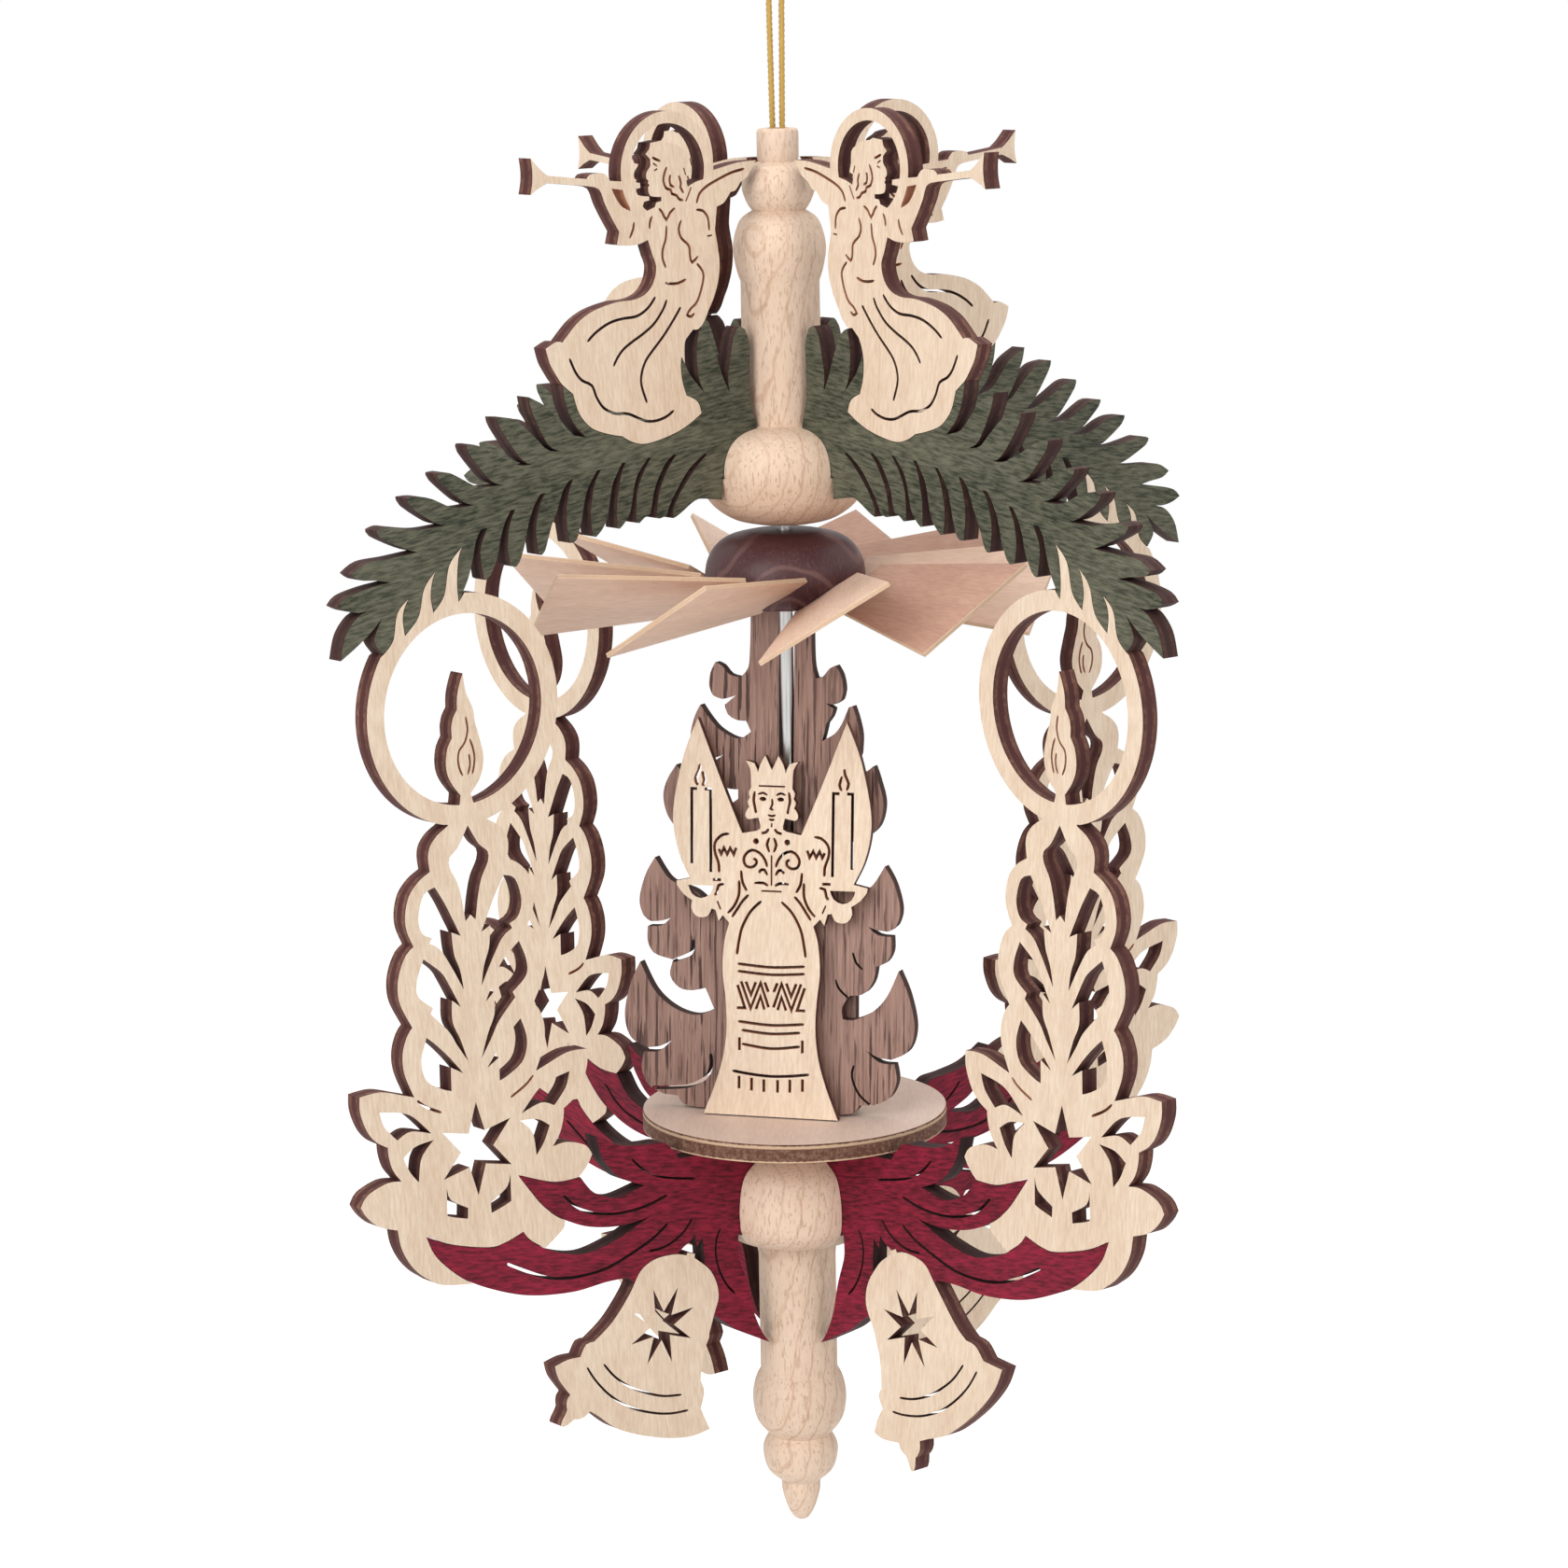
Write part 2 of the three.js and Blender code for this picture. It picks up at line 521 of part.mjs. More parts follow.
function lowerFinial() {
  const blank = turned(
    [0, cupFloor],
    [[bearingBore, cupFloor]],
    [[bearingBore, lowerBallTop]],
    [[7, lowerBallTop]],
    [[9.6, -150.2], [12.2, -152.4], [13.2, -155.6], [13.4, -159.2], [12.9, -162], [10.6, -164.3],
      [6.5, -165.4]],
    [[6.3, -168]],
    [[6.3, -187.4]],
    [[7.2, -189.2], [7.7, -192.2], [7.1, -195.8], [5.1, -198.5]],
    [[6, -200.2], [6.15, -201.9], [5.4, -204.6], [3.25, -206.6]],
    [[3.1, -208.6], [2.3, -211.3], [1.2, -213.2], [0, -213.7]],
  );
  place('lower_finial', cutAway(blank, ...panelSlots(lowerSlot)), turnedBeech(), spinner);
}

// Guide bush above and bearing cup below, pressed into the finials
function guideBush() {
  const bush = turned(
    [0, bushTop],
    [[bearingRadius, bushTop]],
    [[bearingRadius, upperBallBottom]],
    [[fitBore, upperBallBottom]],
    [[fitBore, shaftTop + 1]],
    [[0, shaftTop + 1]],
  );
  place('guide_bush', bush, brass(), spinner);
}

function bearingCup() {
  const cup = turned(
    [0, cupFloor + sawGap],
    [[bearingRadius, cupFloor + sawGap]],
    [[bearingRadius, lowerBallTop]],
    [[fitBore + 0.6, lowerBallTop]],
    [[fitBore, lowerBallTop - 1]],
    [[fitBore, shaftPoint + 0.8]],
    [[0, shaftPoint - sawGap]],
  );
  place('bearing_cup', cup, steel(), spinner);
}

// Doubled cord: up from the cap's hole, round the loop and back down
const cordRoute = [
  [-strandSpread, 8.6], [-strandSpread, 11], [-strandSpread, 14.5], [-0.8, 18], [-0.85, 22], [-0.9, 26],
  [-0.95, 30], [-1, 34], [-1.25, 37], [-1.9, 40], [-2.5, 41.8], [-2.45, 43.1], [-1.6, 44.5], [0, loopTop],
];

function hangingCord() {
  const down = mirrored([...cordRoute].reverse().slice(1), 0);
  const route = [...cordRoute, ...down].map(([x, z]) => new THREE.Vector3(x, 0, z));
  const section = new THREE.Shape(vectors(arcPoints([0, 0], cordDiameter / 2, 0, 315, 7)));
  const extrudePath = new THREE.CatmullRomCurve3(route);
  const cord = new THREE.ExtrudeGeometry(section, { steps: 40, bevelEnabled: false, extrudePath });
  place('hanging_cord', cord, goldCord(), spinner);
}

// Rotor: shaft, hub, blades, disc, tree and figure
const rotor = new THREE.Group();
rotor.rotation.z = THREE.MathUtils.degToRad(rotorAngle);
spinner.add(rotor);

function shaft() {
  const rod = turned(
    [0, shaftPoint],
    [[shaftRadius, shaftPoint + 1.6]],
    [[shaftRadius, shaftTop - 0.4]],
    [[shaftRadius - 0.4, shaftTop]],
    [[0, shaftTop]],
  );
  place('shaft', rod, steel(), rotor);
}

function bladeGeometry(growth) {
  const slope = (bladeTipWidth - bladeRootWidth) / 2 / (bladeTip - bladeRoot);
  const root = bladeRoot - growth;
  const rootHalf = bladeRootWidth / 2 - slope * growth + growth;
  const tipHalf = bladeTipWidth / 2 + growth;
  const thickness = bladeThickness + 2 * growth;
  const shape = outline([root, -rootHalf], [[bladeTip, -tipHalf]], [[bladeTip, tipHalf]], [[root, rootHalf]]);
  const blade = new THREE.ExtrudeGeometry(shape, { depth: thickness, bevelEnabled: false });
  blade.translate(0, bladeOffset, -thickness / 2);
  return blade.rotateX(THREE.MathUtils.degToRad(bladePitch));
}

const bladeAngle = (i) => THREE.MathUtils.degToRad(bladeFirst - rotorAngle + (360 * i) / bladeCount);

function hubAndBlades() {
  const hub = turned(
    [fitBore, hubBottom],
    [[11.6, hubBottom]],
    [[12.5, -59.2]],
    [[hubRadius, -56.5], [12.4, -53.4], [11, -51], [8.8, -49.5], [5.5, hubTop]],
    [[fitBore, hubTop]],
    [[fitBore, hubBottom]],
  );
  const slots = [];
  for (let i = 0; i < bladeCount; i += 1) {
    slots.push(bladeGeometry(sawGap).rotateZ(bladeAngle(i)).translate(0, 0, bladeHeight));
    const blade = place(`blade_${String(i + 1).padStart(2, '0')}`, bladeGeometry(0), veneer(), rotor);
    blade.rotation.z = bladeAngle(i);
    blade.position.z = bladeHeight;
  }
  place('rotor_hub', cutAway(hub, ...slots), darkHub(), rotor);
}

function disc() {
  const bottom = discTop - discThickness;
  const plate = turned(
    [fitBore, bottom],
    [[discRadius, bottom]],
    [[discRadius, discTop]],
    [[fitBore, discTop]],
    [[fitBore, bottom]],
  );
  place('turntable_disc', plate, birchPly(), rotor);
}

// Tree outline, from the top leaf's tip down to the base, as distance from the middle and height
const upperRight = [
  [[11.5, 70.9], [11.9, 68.6], [11.5, 67]],
  [[10.5, 66.3], [9, 66.4]],
  [[10.3, 65.6]],
  [[9.9, 64.3], [9.1, 63.2]],
  [[8.8, 61.8], [8.4, 60.3]],
  [[9.2, 60.8], [10.5, 61.6], [11.6, 63.1], [12.8, 65.9]],
  [[13.4, 66.1]],
  [[14, 64.5], [14.7, 61.5], [14.6, 58.5]],
  [[13.8, 56.6], [12.8, 56.2]],
  [[15.2, 55.5], [16.9, 56.6]],
  [[17.7, 54.4], [18.6, 50.6], [17.8, 47], [15.4, 44.8]],
];
const upperLeft = [
  [[10.2, 70.8], [10.4, 68.6], [9.8, 67.2]],
  [[8.2, 66.6], [5.9, 67.3]],
  [[7.8, 65.7]],
  [[7.3, 64.2], [5.8, 63.3], [4.2, 63.2]],
  [[3.4, 61.5]],
  [[5.5, 60.3], [8.5, 61.6], [10.3, 63.4], [11.9, 65.6]],
  [[12.8, 63.8], [13.5, 61], [13.3, 58.3], [12.2, 57.1]],
  [[10, 56.9], [7.75, 57.8]],
  [[10.3, 56]],
  [[9.5, 53.8], [7.9, 52.4], [6.2, 52.1]],
  [[5.5, 52.1]],
  [[5.5, 50.6]],
  [[7.5, 49.4], [9.8, 49.7], [13.2, 52.3], [15.9, 55.8]],
  [[17.4, 53.4], [18.1, 50.7], [17.3, 47.4], [15.2, 44.8]],
];
const middleLeaves = [
  [[13, 44.2]],
  [[12.7, 40.2], [13.5, 36.2]],
  [[16.6, 37.2], [18.9, 40.6]],
  [[20.5, 37.7], [21.5, 33.7], [20.8, 31], [19.5, 30.1]],
  [[17.6, 30.3], [16.2, 30.8]],
  [[17.8, 29.5], [20.1, 29.3]],
  [[20.1, 26.8], [19.1, 25], [17.6, 24.4]],
];
const notchRight = [
  [[17.5, 23.8]],
  [[17.2, 22.2], [16.4, 20.7], [15.2, 19.7], [13.3, 19.5]],
  [[12, 17.6], [12.1, 15.6]],
  [[13.6, 15.5], [15.6, 16.2], [17.6, 17.5], [19.5, 19.8], [21.3, 23.8]],
];
const notchLeft = [
  [[15.8, 24]],
  [[16.3, 21.4], [14.8, 19.5], [12.7, 19.1], [10.3, 19.6]],
  [[8.8, 16.2]],
  [[11.9, 15.1], [15.6, 16.1], [18.9, 18.8], [21.4, 23.4]],
];
const bottomLeaves = [
  [[23, 19.8], [24, 14.8], [23, 11], [20.2, 9.4]],
  [[18, 9.7], [16, 10.7]],
  [[18.2, 8.9], [20.7, 8.7]],
  [[21.1, 5.9], [19.9, 3.2], [17.4, 1.9]],
  [[14.9, 1.7]],
  [[14.1, 0.5], [11.9, 0]],
];
// From the trunk's top down to the top leaf's tip; the trunk stands a little to the right
const trunkTop = 80.9;
const trunkRight = [
  [[6.5, trunkTop]],
  [[6.6, 75], [6.8, 72.2], [7.3, 70.4]],
  [[8.4, 70.6], [9.6, 72], [10.6, 72.5]],
];
const trunkLeft = [
  [[-3.5, trunkTop]],
  [[-3.6, 75], [-3.9, 71.8], [-5.2, 70.2]],
  [[-7, 70.6], [-8.3, 72], [-9.4, 72.5]],
];
const lowLeft = 44; // leaves on the left below this height stand a little further out
const lowLeftShift = 0.6;
const slotFoot = 17;

function treeShape() {
  const slotLeft = -treeCentre - shaftSlotWidth / 2;
  const slotRight = -treeCentre + shaftSlotWidth / 2;
  const right = [...trunkRight, ...upperRight, ...middleLeaves, ...notchRight, ...bottomLeaves];
  const outward = (run) => run.map(([u, h]) => [-u - (h < lowLeft ? lowLeftShift : 0), h]);
  const leftLeaves = [...upperLeft, ...middleLeaves, ...notchLeft, ...bottomLeaves];
  const left = [...trunkLeft, ...leftLeaves.map(outward)];
  return outline(
    [slotRight, trunkTop],
    ...right,
    left[left.length - 1].slice(-1),
    ...backwards(left, [slotLeft, trunkTop]),
    [[slotLeft, slotFoot]],
    [[slotRight, slotFoot]],
    [[slotRight, trunkTop]],
  );
}

// Light-bearing figure: half outline from the crown's middle down to the hem
const figureHalf = [
  [[1.1, 58.4]],
  [[1.9, 57], [2.3, 55.6]],
  [[2.9, 57.1], [4.4, 57.5]],
  [[3.6, 56.2], [3.4, 53.2]],
  [[3.85, 52.4], [3.6, 51.6]],
  [[4, 50.9], [3.7, 50.1]],
  [[4.2, 49.4], [4.4, 48.6], [3.9, 48.1], [3.2, 48.2]],
  [[2.2, 48.4]],
  [[1.9, 46.6], [3.4, 46.1], [4.9, 45.8]],
  [[8.2, 53.6], [12.35, 64.1]],
  [[14.6, 58.4], [16.2, 51.2], [16.4, 46.6], [15.4, 42], [13.6, 38.2]],
  [[15.9, 37.7]],
  [[15.8, 37]],
  [[14.7, 35.6], [13.2, 34.6]],
  [[13.4, 33.4], [12.7, 32.2], [11.6, 31.9], [10.5, 32.3], [10, 33.4]],
  [[9.3, 33.2]],
  [[8.8, 31.4]],
  [[8.1, 32.4]],
  [[7, 31.2]],
  [[7.8, 28.2], [8.1, 23.6], [7.6, 19], [7.4, 14.4], [7.9, 9.8], [9.2, 5.2], [11.2, 0]],
];
const crownMiddle = [0, 56.1];
const dishHole = [[-2.1, 0], [-1.5, -1.4], [0, -2.1], [1.5, -1.4], [2.1, 0]];
const dishPlace = [11.8, 37.1];

function figureShape() {
  const left = backwards(figureHalf, crownMiddle).map((run) => mirrored(run, 0));
  return outline(crownMiddle, ...figureHalf, [[-11.2, 0]], ...left);
}

function dishCutter(sign) {
  const rim = dishHole.map(([u, h]) => [u + sign * dishPlace[0], h + dishPlace[1]]);
  return plateGeometry(outline(rim[0], rim.slice(1), [rim[0]]), figureThickness + cutMargin);
}

// A leaning plate rests on its back edge, so plates nearer the rim are set lower in the leaning frame
function restingHeight(front, thickness) {
  return sawGap - (front - thickness) * Math.sin(THREE.MathUtils.degToRad(standLean));
}

function standingPlates() {
  const stand = new THREE.Group();
  stand.position.z = discTop;
  stand.rotation.x = -THREE.MathUtils.degToRad(standLean);
  rotor.add(stand);
  const tree = plateGeometry(treeShape(), treeThickness);
  tree.translate(treeCentre, treeThickness / 2 - treeFront, restingHeight(treeFront, treeThickness));
  place('tree', tree, walnut(), stand);
  const figure = cutAway(plateGeometry(figureShape(), figureThickness), dishCutter(-1), dishCutter(1));
  const figureRest = restingHeight(figureFront, figureThickness);
  figure.translate(figureCentre, figureThickness / 2 - figureFront, figureRest);
  place('light_bearer', figure, birchPly(), stand);
  const batten = new THREE.BoxGeometry(battenWidth, battenDepth, battenHeight);
  const battenBack = treeThickness - treeFront + sawGap + battenDepth / 2;
  batten.translate(battenPlace, battenBack, battenHeight / 2 + sawGap);
  place('tree_batten', batten, walnut(), stand);
}

for (const [side, degrees] of Object.entries(panelAngles)) addPanel(side, degrees);
upperFinial();
lowerFinial();
guideBush();
bearingCup();
hangingCord();
shaft();
hubAndBlades();
disc();
standingPlates();

export default spinner;
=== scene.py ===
import math

import bmesh
import bpy
from mathutils import Matrix, Vector


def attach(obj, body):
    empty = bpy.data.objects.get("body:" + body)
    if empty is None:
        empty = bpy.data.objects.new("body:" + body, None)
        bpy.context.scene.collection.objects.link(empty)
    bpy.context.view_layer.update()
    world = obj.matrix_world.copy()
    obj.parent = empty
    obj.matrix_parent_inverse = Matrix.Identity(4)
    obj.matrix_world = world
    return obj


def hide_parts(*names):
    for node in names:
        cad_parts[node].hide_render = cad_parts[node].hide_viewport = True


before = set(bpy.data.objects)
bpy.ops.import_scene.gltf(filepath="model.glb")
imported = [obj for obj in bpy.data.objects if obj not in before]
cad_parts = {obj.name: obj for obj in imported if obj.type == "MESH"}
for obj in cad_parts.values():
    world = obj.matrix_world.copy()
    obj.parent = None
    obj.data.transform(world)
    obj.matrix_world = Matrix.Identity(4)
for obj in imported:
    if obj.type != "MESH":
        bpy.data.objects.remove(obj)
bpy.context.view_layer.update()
mm = 0.001
loopTop = 45.0  # heights below count from the finial's bulb, 45 mm under the loop
drop = Matrix.Translation((0, 0, -loopTop * mm))

# camera at the photograph's place: azimuth, distance and tilt of the solved view
view = {"azimuth": 5.1, "distance": 710.01, "height": 1.574, "yaw": 0.0635, "tilt": 10.871, "roll": -1.0236,
        "lens": 103.46, "sensor": 36, "nearest": 0.01}


def addObject(name, data):
    thing = bpy.data.objects.new(name, data)
    bpy.context.scene.collection.objects.link(thing)
    return thing


def addCamera():
    azimuth = math.radians(view["azimuth"])
    turn = math.radians(view["azimuth"] + view["yaw"])
    tilt = math.radians(view["tilt"])
    roll = math.radians(view["roll"])
    forward = Vector((-math.sin(turn) * math.cos(tilt), math.cos(turn) * math.cos(tilt), -math.sin(tilt)))
    right = Vector((math.cos(turn), math.sin(turn), 0))
    up = right.cross(forward)
    imageRight = math.cos(roll) * right + math.sin(roll) * up
    imageUp = -math.sin(roll) * right + math.cos(roll) * up
    camera = addObject("photoCamera", bpy.data.cameras.new("photoCamera"))
    camera.data.sensor_width = view["sensor"]
    camera.data.lens = view["lens"]
    camera.data.clip_start = view["nearest"]
    place = Matrix((imageRight, imageUp, -forward)).transposed().to_4x4()
    place.translation = Vector((view["distance"] * math.sin(azimuth), -view["distance"] * math.cos(azimuth),
                                view["height"])) * mm
    camera.matrix_world = place
    bpy.context.scene.camera = camera


addCamera()
print("camera set")


# small helpers for node materials: a value is a socket to link, a colour or a number
def setSocket(tree, socket, value):
    if isinstance(value, bpy.types.NodeSocket):
        tree.links.new(value, socket)
    else:
        socket.default_value = (*value, 1) if socket.type == "RGBA" and len(value) == 3 else value


def addNode(tree, kind, **values):
    node = tree.nodes.new("ShaderNode" + kind)
    for name, value in values.items():
        if hasattr(node, name):
            setattr(node, name, value)
        else:
            setSocket(tree, node.inputs[name], value)
    return node


def noise(tree, vector, scale, detail, roughness=0.5):
    return addNode(tree, "TexNoise", Vector=vector, Scale=scale, Detail=detail, Roughness=roughness).outputs[0]


def mapped(tree, vector, **values):
    return addNode(tree, "Mapping", Vector=vector, **values).outputs[0]


def plateMap(tree, name="plate"):
    return addNode(tree, "UVMap", uv_map=name).outputs[0]


def objectPlace(tree):
    return addNode(tree, "TexCoord").outputs["Object"]


def attribute(tree, name):
    return addNode(tree, "Attribute", attribute_name=name).outputs["Fac"]


def mixColour(tree, factor, first, second):
    node = addNode(tree, "Mix", data_type="RGBA")
    for index, value in ((0, factor), (6, first), (7, second)):  # the colour sockets' places
        setSocket(tree, node.inputs[index], value)
    return node.outputs[2]


def mathNode(tree, operation, first, second=0.0):
    node = addNode(tree, "Math", operation=operation)
    setSocket(tree, node.inputs[0], first)
    setSocket(tree, node.inputs[1], second)
    return node.outputs[0]


def scaled(tree, value, factor):
    return mathNode(tree, "MULTIPLY", value, factor)


def weighted(tree, *terms):
    total = 0.0
    for value, weight in terms:
        total = mathNode(tree, "ADD", scaled(tree, value, weight), total)
    return total


def wobbled(tree, value, speckle, amount):
    return mathNode(tree, "ADD", value, scaled(tree, mathNode(tree, "SUBTRACT", speckle, 0.5), amount))


def rampNode(tree, factor, *stops):
    node = addNode(tree, "ValToRGB", Fac=factor)
    elements = node.color_ramp.elements
    elements[0].position, elements[1].position = stops[0][0], stops[-1][0]
    for position, _ in stops[1:-1]:
        elements.new(position)
    for element, (_, level) in zip(elements, stops):
        element.color = (level, level, level, 1)
    return node.outputs[0]


def newGroup(name, inputs, outputs):
    group = bpy.data.node_groups.new(name, "ShaderNodeTree")
    for label, kind, value in inputs:
        socket = group.interface.new_socket(label, in_out="INPUT", socket_type="NodeSocket" + kind)
        if value is not None:
            socket.default_value = value
    for label, kind in outputs:
        group.interface.new_socket(label, in_out="OUTPUT", socket_type="NodeSocket" + kind)
    return group, group.nodes.new("NodeGroupInput").outputs, group.nodes.new("NodeGroupOutput").inputs


# long fibres and slow colour drift of a sawn face; the vector's Y runs along the grain
def makeFibreGroup():
    group, given, result = newGroup(
        "woodFibre",
        [("Vector", "Vector", None), ("Pale", "Color", (1, 1, 1, 1)), ("Deep", "Color", (0, 0, 0, 1)),
         ("Streaks", "Float", 0.5)],
        [("Color", "Color"), ("Height", "Float")])
    place = given["Vector"]
    fibre = noise(group, mapped(group, place, Scale=(1, 0.15, 1)), 2200.0, 4.0, 0.65)
    drift = noise(group, mapped(group, place, Scale=(1, 0.12, 1)), 260.0, 4.0, 0.55)
    streak = rampNode(group, fibre, (0.4, 0.0), (0.62, 1.0))
    band = rampNode(group, drift, (0.36, 0.0), (0.66, 1.0))
    patch = rampNode(group, noise(group, place, 45.0, 2.0), (0.3, 0.0), (0.7, 1.0))
    amount = weighted(group, (scaled(group, streak, given["Streaks"]), 0.55), (band, 0.3), (patch, 0.2))
    setSocket(group, result["Color"], mixColour(group, amount, given["Pale"], given["Deep"]))
    setSocket(group, result["Height"], streak)
    return group


# scorched saw edge of plywood: three plies across the thickness and fine saw marks; the walls of saw slits take their
# own Inside colour, which on birch is painted light: brighter than the scorched ply, to lift the shade in the narrow
# slits
def makeRimGroup():
    group, given, result = newGroup(
        "scorchedRim",
        [("Across", "Float", 0.0), ("Slit", "Float", 0.0), ("Vector", "Vector", None),
         ("Scorch", "Color", (0.1, 0.05, 0.04, 1)), ("Ply", "Color", (0.3, 0.17, 0.1, 1)),
         ("Inside", "Color", (0.3, 0.14, 0.08, 1))],
        [("Color", "Color"), ("Height", "Float")])
    speckle = noise(group, given["Vector"], 900.0, 4.0, 0.65)
    drift = noise(group, given["Vector"], 120.0, 3.0)
    depth = mathNode(group, "ABSOLUTE", wobbled(group, given["Across"], speckle, 0.5))
    outer = rampNode(group, depth, (0.3, 0.0), (0.42, 1.0), (0.8, 0.85), (0.97, 0.0))
    patch = rampNode(group, drift, (0.35, 0.15), (0.7, 1.0))
    grit = rampNode(group, speckle, (0.4, 0.25), (0.68, 1.0))
    amount = scaled(group, scaled(group, outer, patch), grit)
    outside = mixColour(group, amount, given["Scorch"], given["Ply"])
    setSocket(group, result["Color"], mixColour(group, given["Slit"], outside, given["Inside"]))
    setSocket(group, result["Height"], speckle)
    return group


fibreGroup = makeFibreGroup()
rimGroup = makeRimGroup()
bareSheen = 0.2  # specular level of bare sawn wood


def newMaterial(name, roughness, specular=0.35):
    material = bpy.data.materials.new(name)
    material.use_nodes = True
    shader = material.node_tree.nodes["Principled BSDF"]
    shader.inputs["Roughness"].default_value = roughness
    shader.inputs["Specular IOR Level"].default_value = specular
    return material, material.node_tree, shader


# colour and relief of a finished material; the bump's distance is in metres
def paint(tree, shader, colour, height, strength, distance=0.0001):
    setSocket(tree, shader.inputs["Base Color"], colour)
    bump = addNode(tree, "Bump", Strength=strength, Distance=distance, Height=height)
    setSocket(tree, shader.inputs["Normal"], bump.outputs[0])


# sawn wood faces; the grain follows the plate's own map, turned by an angle
def woodFace(name, pale, deep, streaks, grainAngle, roughness):
    material, tree, shader = newMaterial(name, roughness, bareSheen)
    grain = mapped(tree, plateMap(tree), Rotation=(0, 0, math.radians(grainAngle)))
    fibre = addNode(tree, "Group", node_tree=fibreGroup, Vector=grain, Pale=pale, Deep=deep, Streaks=streaks)
    paint(tree, shader, fibre.outputs["Color"], fibre.outputs["Height"], 0.25)
    return material


def rimWood(name, scorch, ply, inside, roughness=0.75):
    material, tree, shader = newMaterial(name, roughness, bareSheen)
    rim = addNode(tree, "Group", node_tree=rimGroup, Across=attribute(tree, "across"), Slit=attribute(tree, "slit"),
                  Vector=objectPlace(tree), Scorch=scorch, Ply=ply, Inside=inside)
    paint(tree, shader, rim.outputs["Color"], rim.outputs["Height"], 0.4, 0.0002)
    return material


birchFace = woodFace("birchFace", (0.88, 0.73, 0.575), (0.68, 0.50, 0.355), 0.85, 4, 0.6)
# its slit colour is painted light: a bright brown that lifts the shade inside the narrow saw slits
birchRim = rimWood("birchRim", (0.082, 0.029, 0.027), (0.32, 0.155, 0.10), (0.55, 0.27, 0.16))
greenFace = woodFace("greenFace", (0.174, 0.167, 0.116), (0.021, 0.028, 0.017), 1.15, 97, 0.65)
greenRim = rimWood("greenRim", (0.045, 0.02, 0.018), (0.15, 0.075, 0.055), (0.06, 0.03, 0.025))
redFace = woodFace("redFace", (0.315, 0.015, 0.043), (0.055, 0.003, 0.01), 1.2, 80, 0.6)
redRim = rimWood("redRim", (0.035, 0.014, 0.014), (0.10, 0.05, 0.045), (0.05, 0.02, 0.02))
print("plate finishes made")

sameSpot = 0.02  # millimetres; points nearer than this count as one
weld = 1e-6  # metres; corners of a mesh nearer than this are merged
sharpEdge = 0.5  # radians; edges that turn by more are bevelled
slitArea = 6.0  # square millimetres; smaller loops count as saw slits


# outlines: a start point, then runs; a run of one point is straight, a longer one a smooth curve
def curvePoints(start, runs, step=0.7):
    points = [Vector(start)]
    for run in runs:
        knots = [points[-1]] + [Vector(p) for p in run]
        if len(knots) == 2:
            points.append(knots[1])
            continue
        for i in range(len(knots) - 1):
            a, b = knots[max(i - 1, 0)], knots[i]
            c, d = knots[i + 1], knots[min(i + 2, len(knots) - 1)]
            pieces = max(2, round((c - b).length / step))
            for k in range(1, pieces + 1):
                t = k / pieces
                slopeB, slopeC = (c - a) / 2, (d - b) / 2
                points.append((2 * t**3 - 3 * t**2 + 1) * b + (t**3 - 2 * t**2 + t) * slopeB
                              + (3 * t**2 - 2 * t**3) * c + (t**3 - t**2) * slopeC)
    kept = [points[0]]
    for point in points[1:]:
        if (point - kept[-1]).length > sameSpot:
            kept.append(point)
    if (kept[0] - kept[-1]).length < sameSpot:
        kept.pop()
    return kept


def signedArea(points):
    return sum(p.x * q.y - q.x * p.y for p, q in zip(points, points[1:] + points[:1])) / 2


def closedLoop(start, *runs):
    points = curvePoints(start, runs)
    return points if signedArea(points) > 0 else points[::-1]


def roundPoint(centre, wide, high, degrees):
    angle = math.radians(degrees)
    return Vector((centre[0] + wide * math.cos(angle), centre[1] + high * math.sin(angle)))


def arcRun(centre, radius, first, last, steps):
    return [[roundPoint(centre, radius, radius, first + (last - first) * i / steps)] for i in range(steps + 1)]


def starLoop(centre, outer, inner, count, first):
    radii = (outer, inner) * count
    return [roundPoint(centre, radius, radius, first + 180 * i / count) for i, radius in enumerate(radii)]


def dotLoop(centre, wide, high, sides=12):
    return [roundPoint(centre, wide, high, 360 / sides * i) for i in range(sides)]


def mirroredRun(run, axis=0):
    return [(2 * axis - u, z) for u, z in run]


def backwardsRuns(runs, start):
    ends = [start] + [run[-1] for run in runs]
    return [list(run[:-1][::-1]) + [ends[i]] for i, run in enumerate(runs)][::-1]


def grownLoop(points, margin):
    grown = []
    for before, here, after in zip(points[-1:] + points[:-1], points, points[1:] + points[:1]):
        inward, outward = (here - before).normalized(), (after - here).normalized()
        normal = Vector((inward.y + outward.y, -inward.x - outward.x))
        grown.append(here + normal * margin / max(0.5, 1 + inward.dot(outward)))
    return grown


# saw line: a narrow slit along a curve, tapering a little at both ends of a smooth one and mitred at corners
saw = {"width": 0.45, "fine": 0.38, "step": 0.6, "taper": 0.6, "mitre": 0.4}


def sawLine(points, width=saw["width"], smooth=True):
    line = curvePoints(points[0], [points[1:]] if smooth else [[p] for p in points[1:]], saw["step"])
    last = len(line) - 1
    left, right = [], []
    for i, here in enumerate(line):
        ahead = (line[min(i + 1, last)] - line[min(i, last - 1)]).normalized()
        behind = (line[max(i, 1)] - line[max(i - 1, 0)]).normalized()
        along = (ahead + behind).normalized()
        taper = saw["taper"] if smooth and i in (0, last) else 1
        side = Vector((-along.y, along.x)) * (width / 2 * taper / max(saw["mitre"], along.dot(ahead)))
        left.append(here + side)
        right.append(here - side)
    return left + right[::-1]


def fromMesh(mesh):
    shape = bmesh.new()
    shape.from_mesh(mesh)
    return shape


def toMesh(shape, mesh=None):
    mesh = mesh or bpy.data.meshes.new("blank")
    shape.to_mesh(mesh)
    shape.free()
    return mesh


